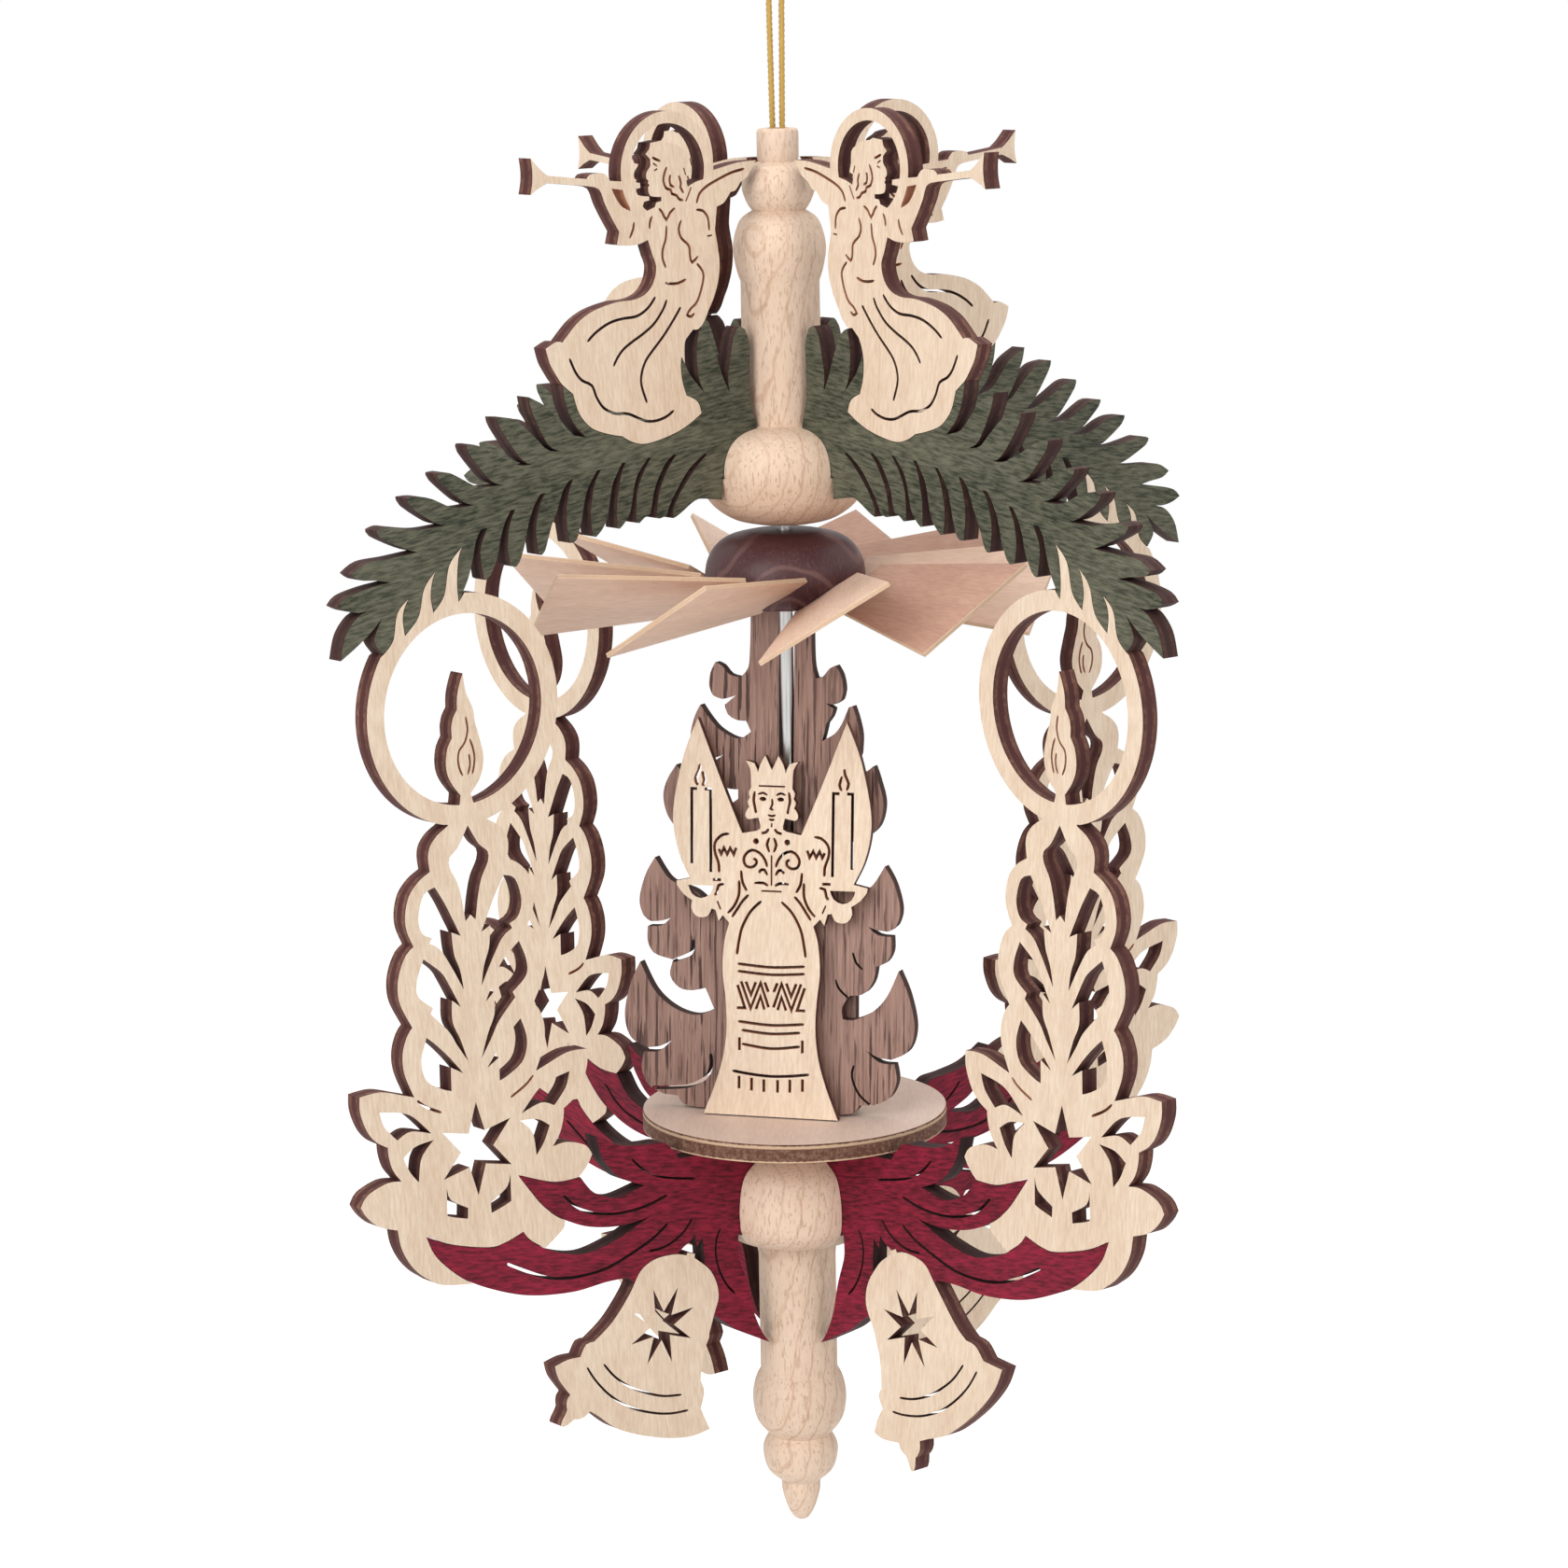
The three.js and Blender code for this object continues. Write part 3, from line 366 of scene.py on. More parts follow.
# a plate in the upright plane: filled between its loops and extruded to its thickness
def plateMesh(loops, thickness):
    shape = bmesh.new()
    slit = shape.verts.layers.float.new("slit")
    edges = []
    for loop in loops:
        verts = [shape.verts.new((p.x * mm, -thickness * mm / 2, p.y * mm)) for p in loop]
        if abs(signedArea(loop)) < slitArea:
            for vert in verts:
                vert[slit] = 1
        edges += [shape.edges.new((a, b)) for a, b in zip(verts, verts[1:] + verts[:1])]
    bmesh.ops.triangle_fill(shape, use_beauty=True, edges=edges, normal=(0, -1, 0))
    body = bmesh.ops.extrude_face_region(shape, geom=shape.faces[:])
    moved = [g for g in body["geom"] if isinstance(g, bmesh.types.BMVert)]
    bmesh.ops.translate(shape, verts=moved, vec=(0, thickness * mm, 0))
    bmesh.ops.recalc_face_normals(shape, faces=shape.faces[:])
    return toMesh(shape)


def cutMesh(mesh, *tools):
    blank = addObject("blank", mesh)
    helpers = [addObject("tool", tool) for tool in tools]
    for helper in helpers:
        cut = blank.modifiers.new("cut", "BOOLEAN")
        cut.operation = "DIFFERENCE"
        cut.solver = "EXACT"
        cut.object = helper
    result = bpy.data.meshes.new_from_object(blank.evaluated_get(bpy.context.evaluated_depsgraph_get()))
    for thing in [blank] + helpers:
        bpy.data.objects.remove(thing)
    return result


def bevelMesh(mesh, offset):
    shape = fromMesh(mesh)
    corners = [e for e in shape.edges if e.calc_face_angle(0) > sharpEdge]
    bmesh.ops.bevel(shape, geom=corners, offset=offset * mm, segments=2, profile=0.5, affect="EDGES", material=-1)
    return toMesh(shape, mesh)


# a plate's map in metres, its place across the thickness (-1 to 1) and the rim's own material; axis: 1 upright, 2 lying
def dressPlate(mesh, thickness, face, rim, axis=1, middle=0.0, flatness=0.7, sharp=38):
    mesh.materials.clear()
    mesh.materials.append(face)
    mesh.materials.append(rim)
    shape = fromMesh(mesh)
    bmesh.ops.remove_doubles(shape, verts=shape.verts[:], dist=weld)
    surface = shape.loops.layers.uv.new("plate")
    across = shape.verts.layers.float.new("across")
    first, second = (0, 2) if axis == 1 else (1, 0)
    for vert in shape.verts:
        vert[across] = (vert.co[axis] - middle * mm) / (thickness * mm / 2)
    for polygon in shape.faces:
        polygon.normal_update()
        polygon.material_index = 0 if abs(polygon.normal[axis]) > flatness else 1
        polygon.smooth = polygon.material_index == 1
        for corner in polygon.loops:
            corner[surface].uv = (corner.vert.co[first], corner.vert.co[second])
    toMesh(shape, mesh).set_sharp_from_angle(angle=math.radians(sharp))
    return mesh


def addPiece(name, mesh, body, slot, place, *nodes):
    mesh.name = name
    mesh.transform(place)
    piece = addObject(name, mesh)
    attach(piece, body)
    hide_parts(*nodes)
    return piece


# hanging cord: doubled, three plies twisted together, up from the cap's hole and round a small loop
cord = {"diameter": 1.0, "twist": 2.6, "lobes": 3, "lobeDepth": 0.14, "sides": 16, "step": 0.3,
        "dark": (0.36, 0.19, 0.03), "bright": (0.78, 0.53, 0.15), "roughness": 0.38, "sheen": 0.5, "metal": 0.55,
        "route": [(-0.75, 8.6), (-0.75, 11), (-0.75, 14.5), (-0.8, 18), (-0.85, 22), (-0.9, 26), (-0.95, 30), (-1, 34),
                  (-1.25, 37), (-1.9, 40), (-2.5, 41.8), (-2.45, 43.1), (-1.6, 44.5), (0, 45)]}


def threadMaterial():
    material, tree, shader = newMaterial("goldThread", cord["roughness"], cord["sheen"])
    shader.inputs["Metallic"].default_value = cord["metal"]
    glint = rampNode(tree, noise(tree, plateMap(tree, "thread"), 34.0, 4.0, 0.7), (0.38, 0.0), (0.62, 1.0))
    paint(tree, shader, mixColour(tree, glint, cord["dark"], cord["bright"]), glint, 0.5)
    return material


def addCord():
    half = [Vector((x, 0, z - loopTop)) * mm for x, z in cord["route"]]
    full = half + [Vector((-p.x, 0, p.z)) for p in half[-2::-1]]
    knots = [(p.x / mm, p.z / mm) for p in full]
    path = [Vector((p.x * mm, 0, p.y * mm)) for p in curvePoints(knots[0], [knots[1:]], cord["step"])]
    steps = [0] + [(b - a).length for a, b in zip(path, path[1:])]
    shape = bmesh.new()
    threadMap = shape.loops.layers.uv.new("thread")
    sides, across = cord["sides"], Vector((0, 1, 0))
    rings, run = [], 0.0
    for i, here in enumerate(path):
        run += steps[i]
        up = (path[min(i + 1, len(path) - 1)] - path[max(i - 1, 0)]).normalized().cross(across)
        spin = 2 * math.pi * run / (cord["twist"] * mm)
        ring = []
        for k in range(sides):
            angle = 2 * math.pi * k / sides
            lobe = 1 - cord["lobeDepth"] + cord["lobeDepth"] * math.cos(cord["lobes"] * (angle - spin))
            radius = cord["diameter"] / 2 * mm * lobe
            ring.append(shape.verts.new(here + radius * (math.cos(angle) * across + math.sin(angle) * up)))
        rings.append((ring, run))
    for (ring, first), (after, second) in zip(rings, rings[1:]):
        for k in range(sides):
            polygon = shape.faces.new((ring[k], ring[(k + 1) % sides], after[(k + 1) % sides], after[k]))
            polygon.smooth = True
            for corner, uv in zip(polygon.loops, ((k, first), (k + 1, first), (k + 1, second), (k, second))):
                corner[threadMap].uv = (uv[0] / sides, uv[1] / mm)
    for ring, _ in (rings[0], rings[-1]):
        shape.faces.new(ring)
    bmesh.ops.recalc_face_normals(shape, faces=shape.faces[:])
    mesh = toMesh(shape)
    mesh.materials.append(threadMaterial())
    piece = addPiece("goldCord", mesh, "frame", "gold_cord", Matrix.Identity(4), "hanging_cord")
    print(f"cord {sum(steps) / mm:.1f} mm long")


addCord()

plyThickness = 3.0
plateGap = 0.1  # open joint between neighbouring plates of a panel
cutOver = 2.0  # how much thicker a cutting shape is than the plate it cuts

angel = {"halo": (23.3, 9.05), "haloRadius": 9.05, "haloInner": 7.2}
angel["lines"] = [
    [(8.1, 8.6), (10.8, 8.1), (13.7, 7.1), (15.8, 6.2), (17.1, 5.2), (17.7, 3.8)],
    [(18.7, 6.3), (19.8, 4.2)],
    [(20.1, 9.3), (19.7, 8.2)],
    [(21.1, 8.2), (20.7, 7.1), (20.8, 6.4), (20.2, 5.5)],
    [(20.3, 4.4), (21.1, 4.6), (21.6, 5.2), (22.5, 5.5), (22.7, 6.1), (23.6, 6.4), (24.1, 7.5), (23.9, 8.6),
     (23.4, 9.6)],
    [(22, 6.5), (22.7, 6.8), (22.9, 7.7), (22.7, 8.4)],
    [(24.6, 10.55), (25.3, 10.8), (26.2, 11.2)],
    [(26.05, 10.3), (25.3, 9.85)], [(25.25, 9.45), (25.85, 9.15)],
    [(14.75, -1.25), (15.7, -1.35)],
    [(22, 3.3), (23, 2.6), (23.7, 1.6), (24.5, 2.8), (25.1, 3.4)],
    [(17.8, 2.8), (16.5, 2.6), (15.5, 1.4), (15.3, -0.5)],
    [(20.8, 1.4), (21.3, 0.1), (20.9, -1.3), (19.4, -2.6), (19.2, -4.2), (18.8, -5.2), (17.6, -4.3)],
    [(17.9, -5.4), (16.6, -7.3), (17.8, -11), (19.3, -12.3), (20, -13.2), (19.2, -13.5), (18.6, -13)],
    [(23.7, 0.7), (23.9, -1.3), (24.5, -2.8), (24.6, -4.2), (24, -5.7)],
    [(20.1, -7.7), (21.6, -8.2), (23, -8.2), (24.2, -8)],
    [(26.5, 2.3), (26.9, 1.4), (27, 0.4)],
    [(30, 1.6), (30.2, 0.5), (30.9, -0.8)],
    [(26.2, -10), (27.7, -11.6), (29.9, -12.7), (32.8, -12.9), (35.3, -13.4), (37.8, -14.6), (39.5, -15.9)],
    [(24, -10.6), (24.8, -12.1), (26.6, -14.1), (28.8, -15.5), (31, -16.6), (32.8, -17.7), (34, -19), (34.6, -20)],
    [(21.3, -11.9), (22.7, -13.7), (24.8, -16.1), (27, -18.2), (28.4, -19.7), (29.2, -21.5), (29.3, -23.3),
     (28.3, -26.1)],
    [(23.1, -27.7), (24.5, -28.5), (26.6, -29), (28.8, -28.8), (32, -27.5), (34.6, -27.2), (36.7, -26.2), (38, -24.5),
     (38.9, -22.6), (40.7, -21.7), (41.9, -20.4), (43, -18.2)],
]


def angelLoops():
    halo, outer, inner = angel["halo"], angel["haloRadius"], angel["haloInner"]
    body = closedLoop(
        (5.7, 9.8), [(9.5, 9.6), (14.25, 8.7)], *arcRun(halo, outer, 182, -7.6, 60), [(34.4, 8.05)],
        [(35.3, 9.1), (36.7, 9.3), (38.3, 9.15), (38.9, 8.55)], [(46.2, 9.4)], [(47.6, 10.4), (49.3, 12.1)],
        [(49.05, 10.3), (49.1, 8.5), (49.5, 6.7)], [(47.9, 7.6), (46.2, 8.3)], [(38.9, 7.5)],
        [(36.6, 6.9), (35.5, 4.6), (34.2, 2.3), (32.9, 0.3)], [(33.4, -1.6)],
        [(31.4, -1.9), (29.2, -1.8), (27.4, -1.25)],
        [(26.5, -3.8), (25.9, -5.3), (26.2, -7.1), (27, -8.5), (28.4, -9.6), (30.6, -10.2), (33.5, -10.3),
         (36.7, -10.9), (38.9, -11.6), (41.4, -13), (44.3, -15.7)],
        [(45.4, -15.5), (47.45, -16.4)], [(46.8, -18.6), (45.7, -20.4), (44.5, -22), (42.5, -23.6)],
        [(41.8, -25.8), (40.9, -27.4), (39.2, -29), (37.4, -29.8), (34.9, -30.5), (33.3, -30.8)],
        [(31.9, -31.6), (30.2, -32.2), (28.4, -32.35), (25.6, -31.9), (22.3, -31), (19.8, -29.9), (17.6, -28.6)],
        [(18, -27.2), (18.9, -26.3), (20.5, -25.6)],
        [(21.2, -23.6), (21.5, -21.5), (21.4, -19.7), (20.9, -17.9), (20.3, -16.8)], [(18.9, -15.5)],
        [(17.8, -15.5), (16.6, -14.3), (15.8, -12.8), (14.6, -10.7), (13.6, -7.8), (13.4, -4.9), (13.9, -2.6),
         (14.2, -1), (14, 0.9), (13.7, 3.1)],
        [(12.3, 3.6), (10.9, 5.2)], [(9.9, 5.4), (8.9, 6.6)], [(7.5, 7.4), (5.7, 9.8)])
    aroundHead = closedLoop(  # over the head, round the mouthpiece and under the chin, then up the profile
        (16.28, 7.43), *arcRun(halo, inner, 193, -11, 44), [(28.7, 7.45)], [(28.6, 6.7)],
        *arcRun(halo, inner, -20.5, -55, 10), [(25.9, 3.65)], [(25.6, 4.35)], [(24.6, 4.5)], [(24.6, 5.15)],
        [(25.8, 5.2), (26.8, 5.45), (27.1, 6.1)], [(27.15, 6.7)], [(26.85, 7)], [(27.15, 7.35)], [(27, 7.7)],
        [(27.45, 8.1), (27.4, 8.9), (26.95, 9.5)], [(26.6, 10), (26.65, 11)], [(27.5, 11.75)], [(26.75, 12.5)],
        [(26.5, 13.4)], [(25.5, 13.5), (24.4, 13.65)], [(23.6, 13.3)], [(22.6, 13.2), (21.5, 12.95)], [(20.8, 12.5)],
        [(19.9, 12.1)], [(19.3, 11.4), (19.2, 9.7)], [(18.8, 8.3)], [(19.6, 8)], [(19.6, 7.1)], [(19.4, 6.4)],
        [(18, 7), (16.28, 7.43)])
    besideArm = closedLoop((30.6, 3.3), *arcRun(halo, outer, -35, -16, 6), [(34.2, 6.9)],
                           [(33.4, 5.4), (32.2, 4), (30.6, 3.3)])
    return [body, aroundHead, besideArm] + [sawLine(line) for line in angel["lines"]]


branch = {}
branch["leaves"] = [
    [(43.3, -29.6), (45.2, -27.8), (47.5, -25.2), (50.9, -23.4)], [(50.2, -26), (47.5, -30.8), (45.1, -32.1)],
    [(47.7, -31.6), (50.1, -29.4), (53.5, -26.6), (56.9, -26)], [(56.3, -27.7), (52.7, -32.5), (50.6, -33.6)],
    [(53, -33.5), (56.3, -32.1), (60.5, -29.9), (62.5, -29.6)], [(62.3, -30.9), (58.4, -35.3), (56, -36.2)],
    [(59, -36.2), (61.2, -35.9), (65.9, -33.5), (68.2, -33.4)], [(67.7, -34.6), (63.6, -38), (61.4, -38.7)],
    [(65.4, -38.7), (69.2, -37.1), (71.6, -36.5), (73.8, -36.5)], [(73.1, -37.9), (68.8, -40.7), (66.5, -41.2)],
    [(71.3, -41.4), (75.5, -40.8), (77.9, -40.4), (79.4, -40.8)], [(78.8, -41.9), (74.4, -44), (72.1, -44.7)],
    [(76.7, -45.1), (81.5, -45.4), (84.2, -46.8)], [(82.7, -47.8), (79.7, -48.2), (77.2, -48.7)],
    [(81.5, -49.2), (85.3, -50.1), (86.8, -51.4)], [(85.1, -52.2), (83, -52.6), (81.1, -52.5)],
    [(83.4, -53.3), (85.6, -55.8), (86.6, -59.4)], [(84.1, -57.9), (81.5, -56.1), (78.85, -53.8)],
]
branch["slits"] = [
    [(63.15, -49.7), (62.2, -46.9), (61.4, -43.9), (60.4, -42.5)], [(59.3, -42.35)],
    [(60.4, -44.7), (60.7, -46.6), (60.2, -50)], [(59.9, -50.2)],
    [(58.9, -49.5), (57.5, -46.7), (56.9, -44.2), (55.95, -41.8), (54.8, -40.15)], [(54, -40.1)],
    [(55.1, -42.4), (55.6, -45.6), (55.2, -48.5)], [(54.3, -48.8)],
    [(53.5, -48.2), (52.4, -45.6), (51.75, -43), (50.5, -40), (49.2, -38.25)], [(48.3, -38.1)],
    [(49.5, -40.3), (50.2, -43.6), (49.8, -47.4)], [(49.4, -47.5)],
    [(48.6, -46.9), (47.3, -43.4), (46.05, -40.9), (44.9, -38.1), (43.7, -36.7)], [(42.9, -36.5)],
    [(43.85, -38.7), (44.4, -42.2), (43.9, -46.2)], [(43.4, -46.25)],
    [(42.5, -45.8), (41.6, -43.3), (40.6, -39.3), (39.7, -37.5), (38.25, -35.6)], [(37.5, -35.5)],
    [(38.85, -37.85), (39.7, -42), (39.4, -45.6)], [(38.8, -45.8)],
    [(37.6, -44.8), (36.5, -42.9), (35.5, -38.4), (34.6, -36.7), (33.4, -34.9)], [(32.7, -34.9)],
    [(33.7, -36.95), (34.6, -41.1), (34.6, -44.9)], [(34.2, -45)],
    [(33.2, -44.2), (32, -42.4), (30.9, -37.9), (29.75, -36.1), (28.3, -34.6)], [(27.7, -34.6)],
    [(29.15, -36.5), (30.65, -39.9), (30.9, -44.4)], [(30.3, -44.5)],
    [(29.2, -43.7), (28.15, -43.2), (27.1, -39.3), (25.05, -35.9), (23.3, -34.5)], [(22.7, -34.6)],
    [(24.3, -36.4), (26.2, -39.9), (27, -44)], [(26.3, -44.2)],
    [(25, -43.9)], [(23.9, -41.65), (21.2, -38), (19.2, -36.2), (17.1, -34.9)],
    [(16.6, -35)], [(18.9, -36.95), (22.1, -40.5), (23.6, -43)], [(23.6, -44.4)],
]


def branchLoop():
    return closedLoop(
        (13.8, -42.5), [(13.8, -39)], [(6.6, -39)], [(6.6, -31)],
        [(7.4, -28.5), (7.7, -26), (7.7, -21), (7.6, -18.75), (8.6, -16.2), (9.8, -15.7)],
        [(10.8, -17), (11.7, -20.8), (12.1, -23.4), (11.9, -25.8)],
        [(13, -23.7), (14.5, -19.9), (16.2, -16.6), (17.7, -15.7)], [(18.3, -18.6), (18.1, -22.6), (16.95, -25.5)],
        [(18.6, -23.7), (19.8, -22.3), (21.2, -19.7)], [(26, -27)], [(40, -25.5)], [(44.5, -21.9)],
        [(43.9, -25.2), (42.4, -28.2), (40.2, -30.4)], *branch["leaves"],
        [(79.9, -55.5), (80.5, -57.3), (79.1, -59.3)], [(75.2, -57)], [(69.8, -54.1)], [(65, -53)], *branch["slits"],
        [(22.4, -43.9), (19.3, -42.1), (17.5, -41.95), (13.8, -42.5)])


column = {"axis": 64.65, "ring": (64.7, -69.3), "ringRadius": 17.65, "ringInner": 14.55, "neck": (68.3, -86.58),
          "star": ((64.75, -137.6), 7.4, 3.05, 6, 90), "heartEnds": (-87.1, -100.9),
          "spikeStart": ((63.9, -51.67), [(65, -53)]), "spikeFoot": ([(74, -62)], [(66, -60)], [(62.5, -56)])}
column["spikes"] = [
    [(65.2, -50.3), (64.8, -46.4), (64.1, -44.8)], [(66.5, -47.3), (67.6, -51.7), (69.7, -54.1)],
    [(70.1, -51.5), (69.6, -49), (69, -47.9)], [(71.2, -50.3), (72.4, -54.4), (75, -57)],
    [(75.3, -54.6), (75, -53), (74.2, -51.55)], [(76.2, -53.5), (77.1, -57.4), (78.9, -59.3)],
]
column["side"] = [
    [(68.25, -86.6), (70.3, -87.8), (71.7, -89.3), (72.15, -91), (71.9, -93.2)],
    [(74.05, -94.4), (75.9, -96.4), (76.7, -99.2), (76.5, -101.6), (75.35, -104.2)],
    [(76.7, -105.2), (77.9, -107.3), (78.5, -109.9), (78.1, -112.8), (76.05, -116.6)],
    [(77.1, -117.8), (78, -120.4), (77.8, -123.5), (76.15, -127.4)],
    [(78, -126.8), (82.3, -125.5), (86.1, -125.6)],
    [(86.1, -128), (85, -131), (83.4, -133), (81.3, -134.3)],
    [(81.2, -135.7), (80.5, -138), (79, -140)],
    [(81.7, -139.8), (85.3, -141), (86.6, -142.7)],
    [(85.5, -144.4), (83.3, -146.3), (80, -147.5)],
]
column["foot"] = [
    [(79.5, -150.2), (78.3, -152.7), (76.7, -154.7), (74.7, -156.3), (72, -157.8), (66.3, -158.8)],
    [(56, -158.2), (52.3, -156), (49.7, -154.3), (48.4, -153), (48.6, -150), (49.2, -147.6)],
]
column["heart"] = [(66.6, -90.2), (68.2, -91.6), (68.2, -93.2), (66.9, -95.6), (66.1, -98.6), (65.6, -101.8)]
column["leafHoles"] = [
    [(71.1, -95.7), [(73.2, -96.6), (74.3, -100), (73.6, -102.5), (71.9, -103.4)], [(72.4, -104.2)],
     [(70.5, -105.4), (68.5, -108.4), (66.3, -112.3)], [(66.9, -109.2), (67.9, -106.6), (68.3, -103.1)],
     [(66.6, -103.9)], [(68.2, -100.7), (69.4, -98.4), (71.1, -95.7)]],
    [(73.6, -106.4), [(74.9, -109.5), (74.8, -112), (72.15, -114.2)], [(72.6, -115.1)],
     [(69.4, -118.3), (67.9, -120.7), (65.9, -123.6)], [(67.3, -119.8), (68.6, -117), (68.6, -113.6)],
     [(67, -114.9)], [(69.1, -111), (70.5, -108.9), (73.6, -106.4)]],
    [(73.5, -118.6), [(74.6, -122), (73.8, -125.2), (71.1, -127), (69.2, -127.7)], [(69.2, -124)], [(66.9, -125.3)],
     [(69.2, -122.6), (71.7, -120.1), (73.5, -118.6)]],
    [(73.2, -133.6), [(76.5, -130.4), (79, -129.3), (82.6, -128.6)], [(81.8, -131), (79.5, -133.5)],
     [(77, -132.6), (73.2, -133.6)]],
    [(72.8, -134.7), [(76.2, -135.1), (78.5, -136.5)], [(77.3, -139), (75.8, -140.8)],
     [(75.3, -137.4), (74, -135.7), (72.8, -134.7)]],
    [(70.7, -142.6), [(70, -144.7), (66.8, -146.6)], [(66.9, -148.3)], [(69.4, -147.6), (70.7, -147.1)],
     [(70.7, -142.6)]],
]
column["lines"] = [[(75.6, -128), (74.6, -128.9), (73.3, -129.7), (71.2, -130.7)]]
column["flameLines"] = [
    [(64.4, -70.5), (64.15, -71.8), (64.15, -72.8), (64.5, -74), (65.05, -74.8), (65.7, -75.4), (66, -76.3),
     (66, -77.3), (65.75, -78.4), (65.25, -79.4)],
    [(63.75, -73.95), (63.3, -75.1), (63, -76.4), (63, -77.4), (63.2, -78.5), (63.45, -79.3)],
    [(64, -76.2), (63.85, -77.2), (63.9, -78.2), (64.3, -79.3)],
]


def columnOutline():
    left = [mirroredRun(run, column["axis"]) for run in backwardsRuns(column["side"], column["neck"])]
    return closedLoop(*column["spikeStart"], *column["spikes"],
                      *arcRun(column["ring"], column["ringRadius"], 33, -76, 40), *column["side"], *column["foot"],
                      *left, *arcRun(column["ring"], column["ringRadius"], 256, 92.6, 60))


def columnLoops():
    axis = column["axis"]
    ringHole = closedLoop(
        (66, -83.7), *arcRun(column["ring"], column["ringInner"], -84.5, 265, 90), [(63.9, -82.3)],
        [(62, -80), (61.3, -77), (62, -73.8), (62.7, -71.5), (63, -69.4), (64.2, -66.8), (64.7, -63.8)],
        [(65.3, -65.2), (65.85, -67.2), (65.95, -69.2)], [(66.7, -70.3), (67.1, -71.8), (67.05, -73.4)],
        [(67.9, -74.8), (68.3, -76.8), (68.1, -78.8), (67.2, -80.6), (65.8, -82.3)], [(66, -83.7)])
    leftHeart = mirroredRun(column["heart"][::-1], axis)
    top, foot = [(axis, height) for height in column["heartEnds"]]
    heart = closedLoop(top, column["heart"], [foot], leftHeart[:1], leftHeart[1:] + [top])
    loops = [columnOutline(), ringHole, heart, starLoop(*column["star"])]
    for start, *runs in column["leafHoles"]:
        loops.append(closedLoop(start, *runs))
        loops.append(closedLoop(mirroredRun([start], axis)[0], *[mirroredRun(run, axis) for run in runs]))
    for line in column["lines"]:
        loops += [sawLine(line), sawLine(mirroredRun(line, axis))]
    return loops + [sawLine(line, saw["fine"]) for line in column["flameLines"]]


spray = {}
spray["lines"] = [  # each with its width
    ([(22.2, -150.7), (26, -149.9), (29.5, -148.9), (32.6, -147.2), (34.9, -145)], 0.4),
    ([(28, -152.3), (31.5, -153.1), (34.8, -153.4), (39, -153.2), (43, -152.2), (46, -150.6), (48.5, -148.3)], 0.45),
    ([(28, -157), (31, -158.8), (34.8, -160.2), (40, -161.7), (45, -162), (49.6, -161.5), (53.6, -160.2),
      (59.7, -157)], 0.5),
    ([(23, -157.2), (24.6, -158.9), (27, -160.2), (29.5, -160.8), (31.9, -160.7)], 0.45),
    ([(17.2, -160), (18, -161.4), (18.3, -164), (17.5, -167.2), (16, -169.8), (14.5, -171.4)], 0.4),
]
spray["notch"] = [  # two saw notches with a point between them, open to the bell's crown
    (20.7, -166), [(20.8, -163)], [(20.95, -160.9)], [(21.6, -161.5), (22.2, -162.1)], [(22.35, -161.1)],
    [(22.55, -160.05)], [(23.6, -161), (24.6, -161.5), (25.9, -162.3)], [(26, -163)], [(24, -166)]]


def sprayLoops():
    body = closedLoop(
        (8.6, -161.6), [(8.6, -151.2)], [(12, -148.8), (18, -147.3), (25.4, -146.8)],
        [(26.6, -145.2), (28.4, -143.6), (32.3, -143.2), (37.3, -142.3), (41.8, -140)],
        [(40.8, -143.4), (39.4, -145.5), (37, -147.8), (32.5, -149.8)],
        [(37, -150.6), (39.2, -150.5), (41.4, -149.6), (43.2, -148.4), (45.1, -146)],
        [(48.8, -146), (51.7, -145.4), (57, -143.4)],
        [(53.6, -147.8), (51.7, -149.8), (49.1, -151.8), (44, -154.2), (37.6, -155.4), (31.5, -155.1)],
        [(35.4, -156.5), (38.6, -157.6), (44.6, -158.5), (50.4, -157), (54.9, -154.4), (56.5, -152.6)],
        [(60, -153.6), (63.2, -153.7), (70.2, -151.8), (74.7, -149.6)],
        [(72.8, -153.3), (68, -157.6), (62.6, -160.5), (55.5, -163), (47.2, -164.2), (40.5, -164), (36, -164.2)],
        [(33, -168)], [(20.5, -173.5)], [(18, -174.8), (15.2, -177), (12.4, -178.6), (7.4, -181.2)],
        [(8.9, -179.2), (10.6, -175.4), (11.9, -170.2), (13.5, -165.6), (13.6, -163)], [(13.5, -161.6)],
        [(8.6, -161.6)])
    return [body] + [sawLine(line, width) for line, width in spray["lines"]]


bell = {"middle": (29.5, -173.6), "tilt": -60, "start": (28.7, -162.2), "star": (6.6, 2.3, 8, 30)}
bell["runs"] = [
    [(31.1, -162.4), (33.7, -163.7), (36.1, -167.1), (39.6, -170.8), (43.3, -173.2)],
    [(44.9, -173.3), (46.1, -175.1)],
    [(48.5, -175), (51.1, -175.5)], [(50.5, -177.7), (48.3, -180.8)],
    [(48.85, -181.4), (49.05, -182.3), (48.95, -183.1)],
    [(49.35, -183.8), (50, -184.7), (50.3, -185.4)], [(49.8, -185.75), (48.8, -185.6), (47.6, -185)],
    [(46.8, -185.2), (45.6, -185.1), (44.4, -184.4)],
    [(42.8, -185.6), (38.5, -188.9), (31.1, -191.9), (24.7, -193.3), (20.3, -193)],
    [(21.2, -191.1), (22.1, -189.1)], [(21.3, -186.5), (22, -184.4)],
]
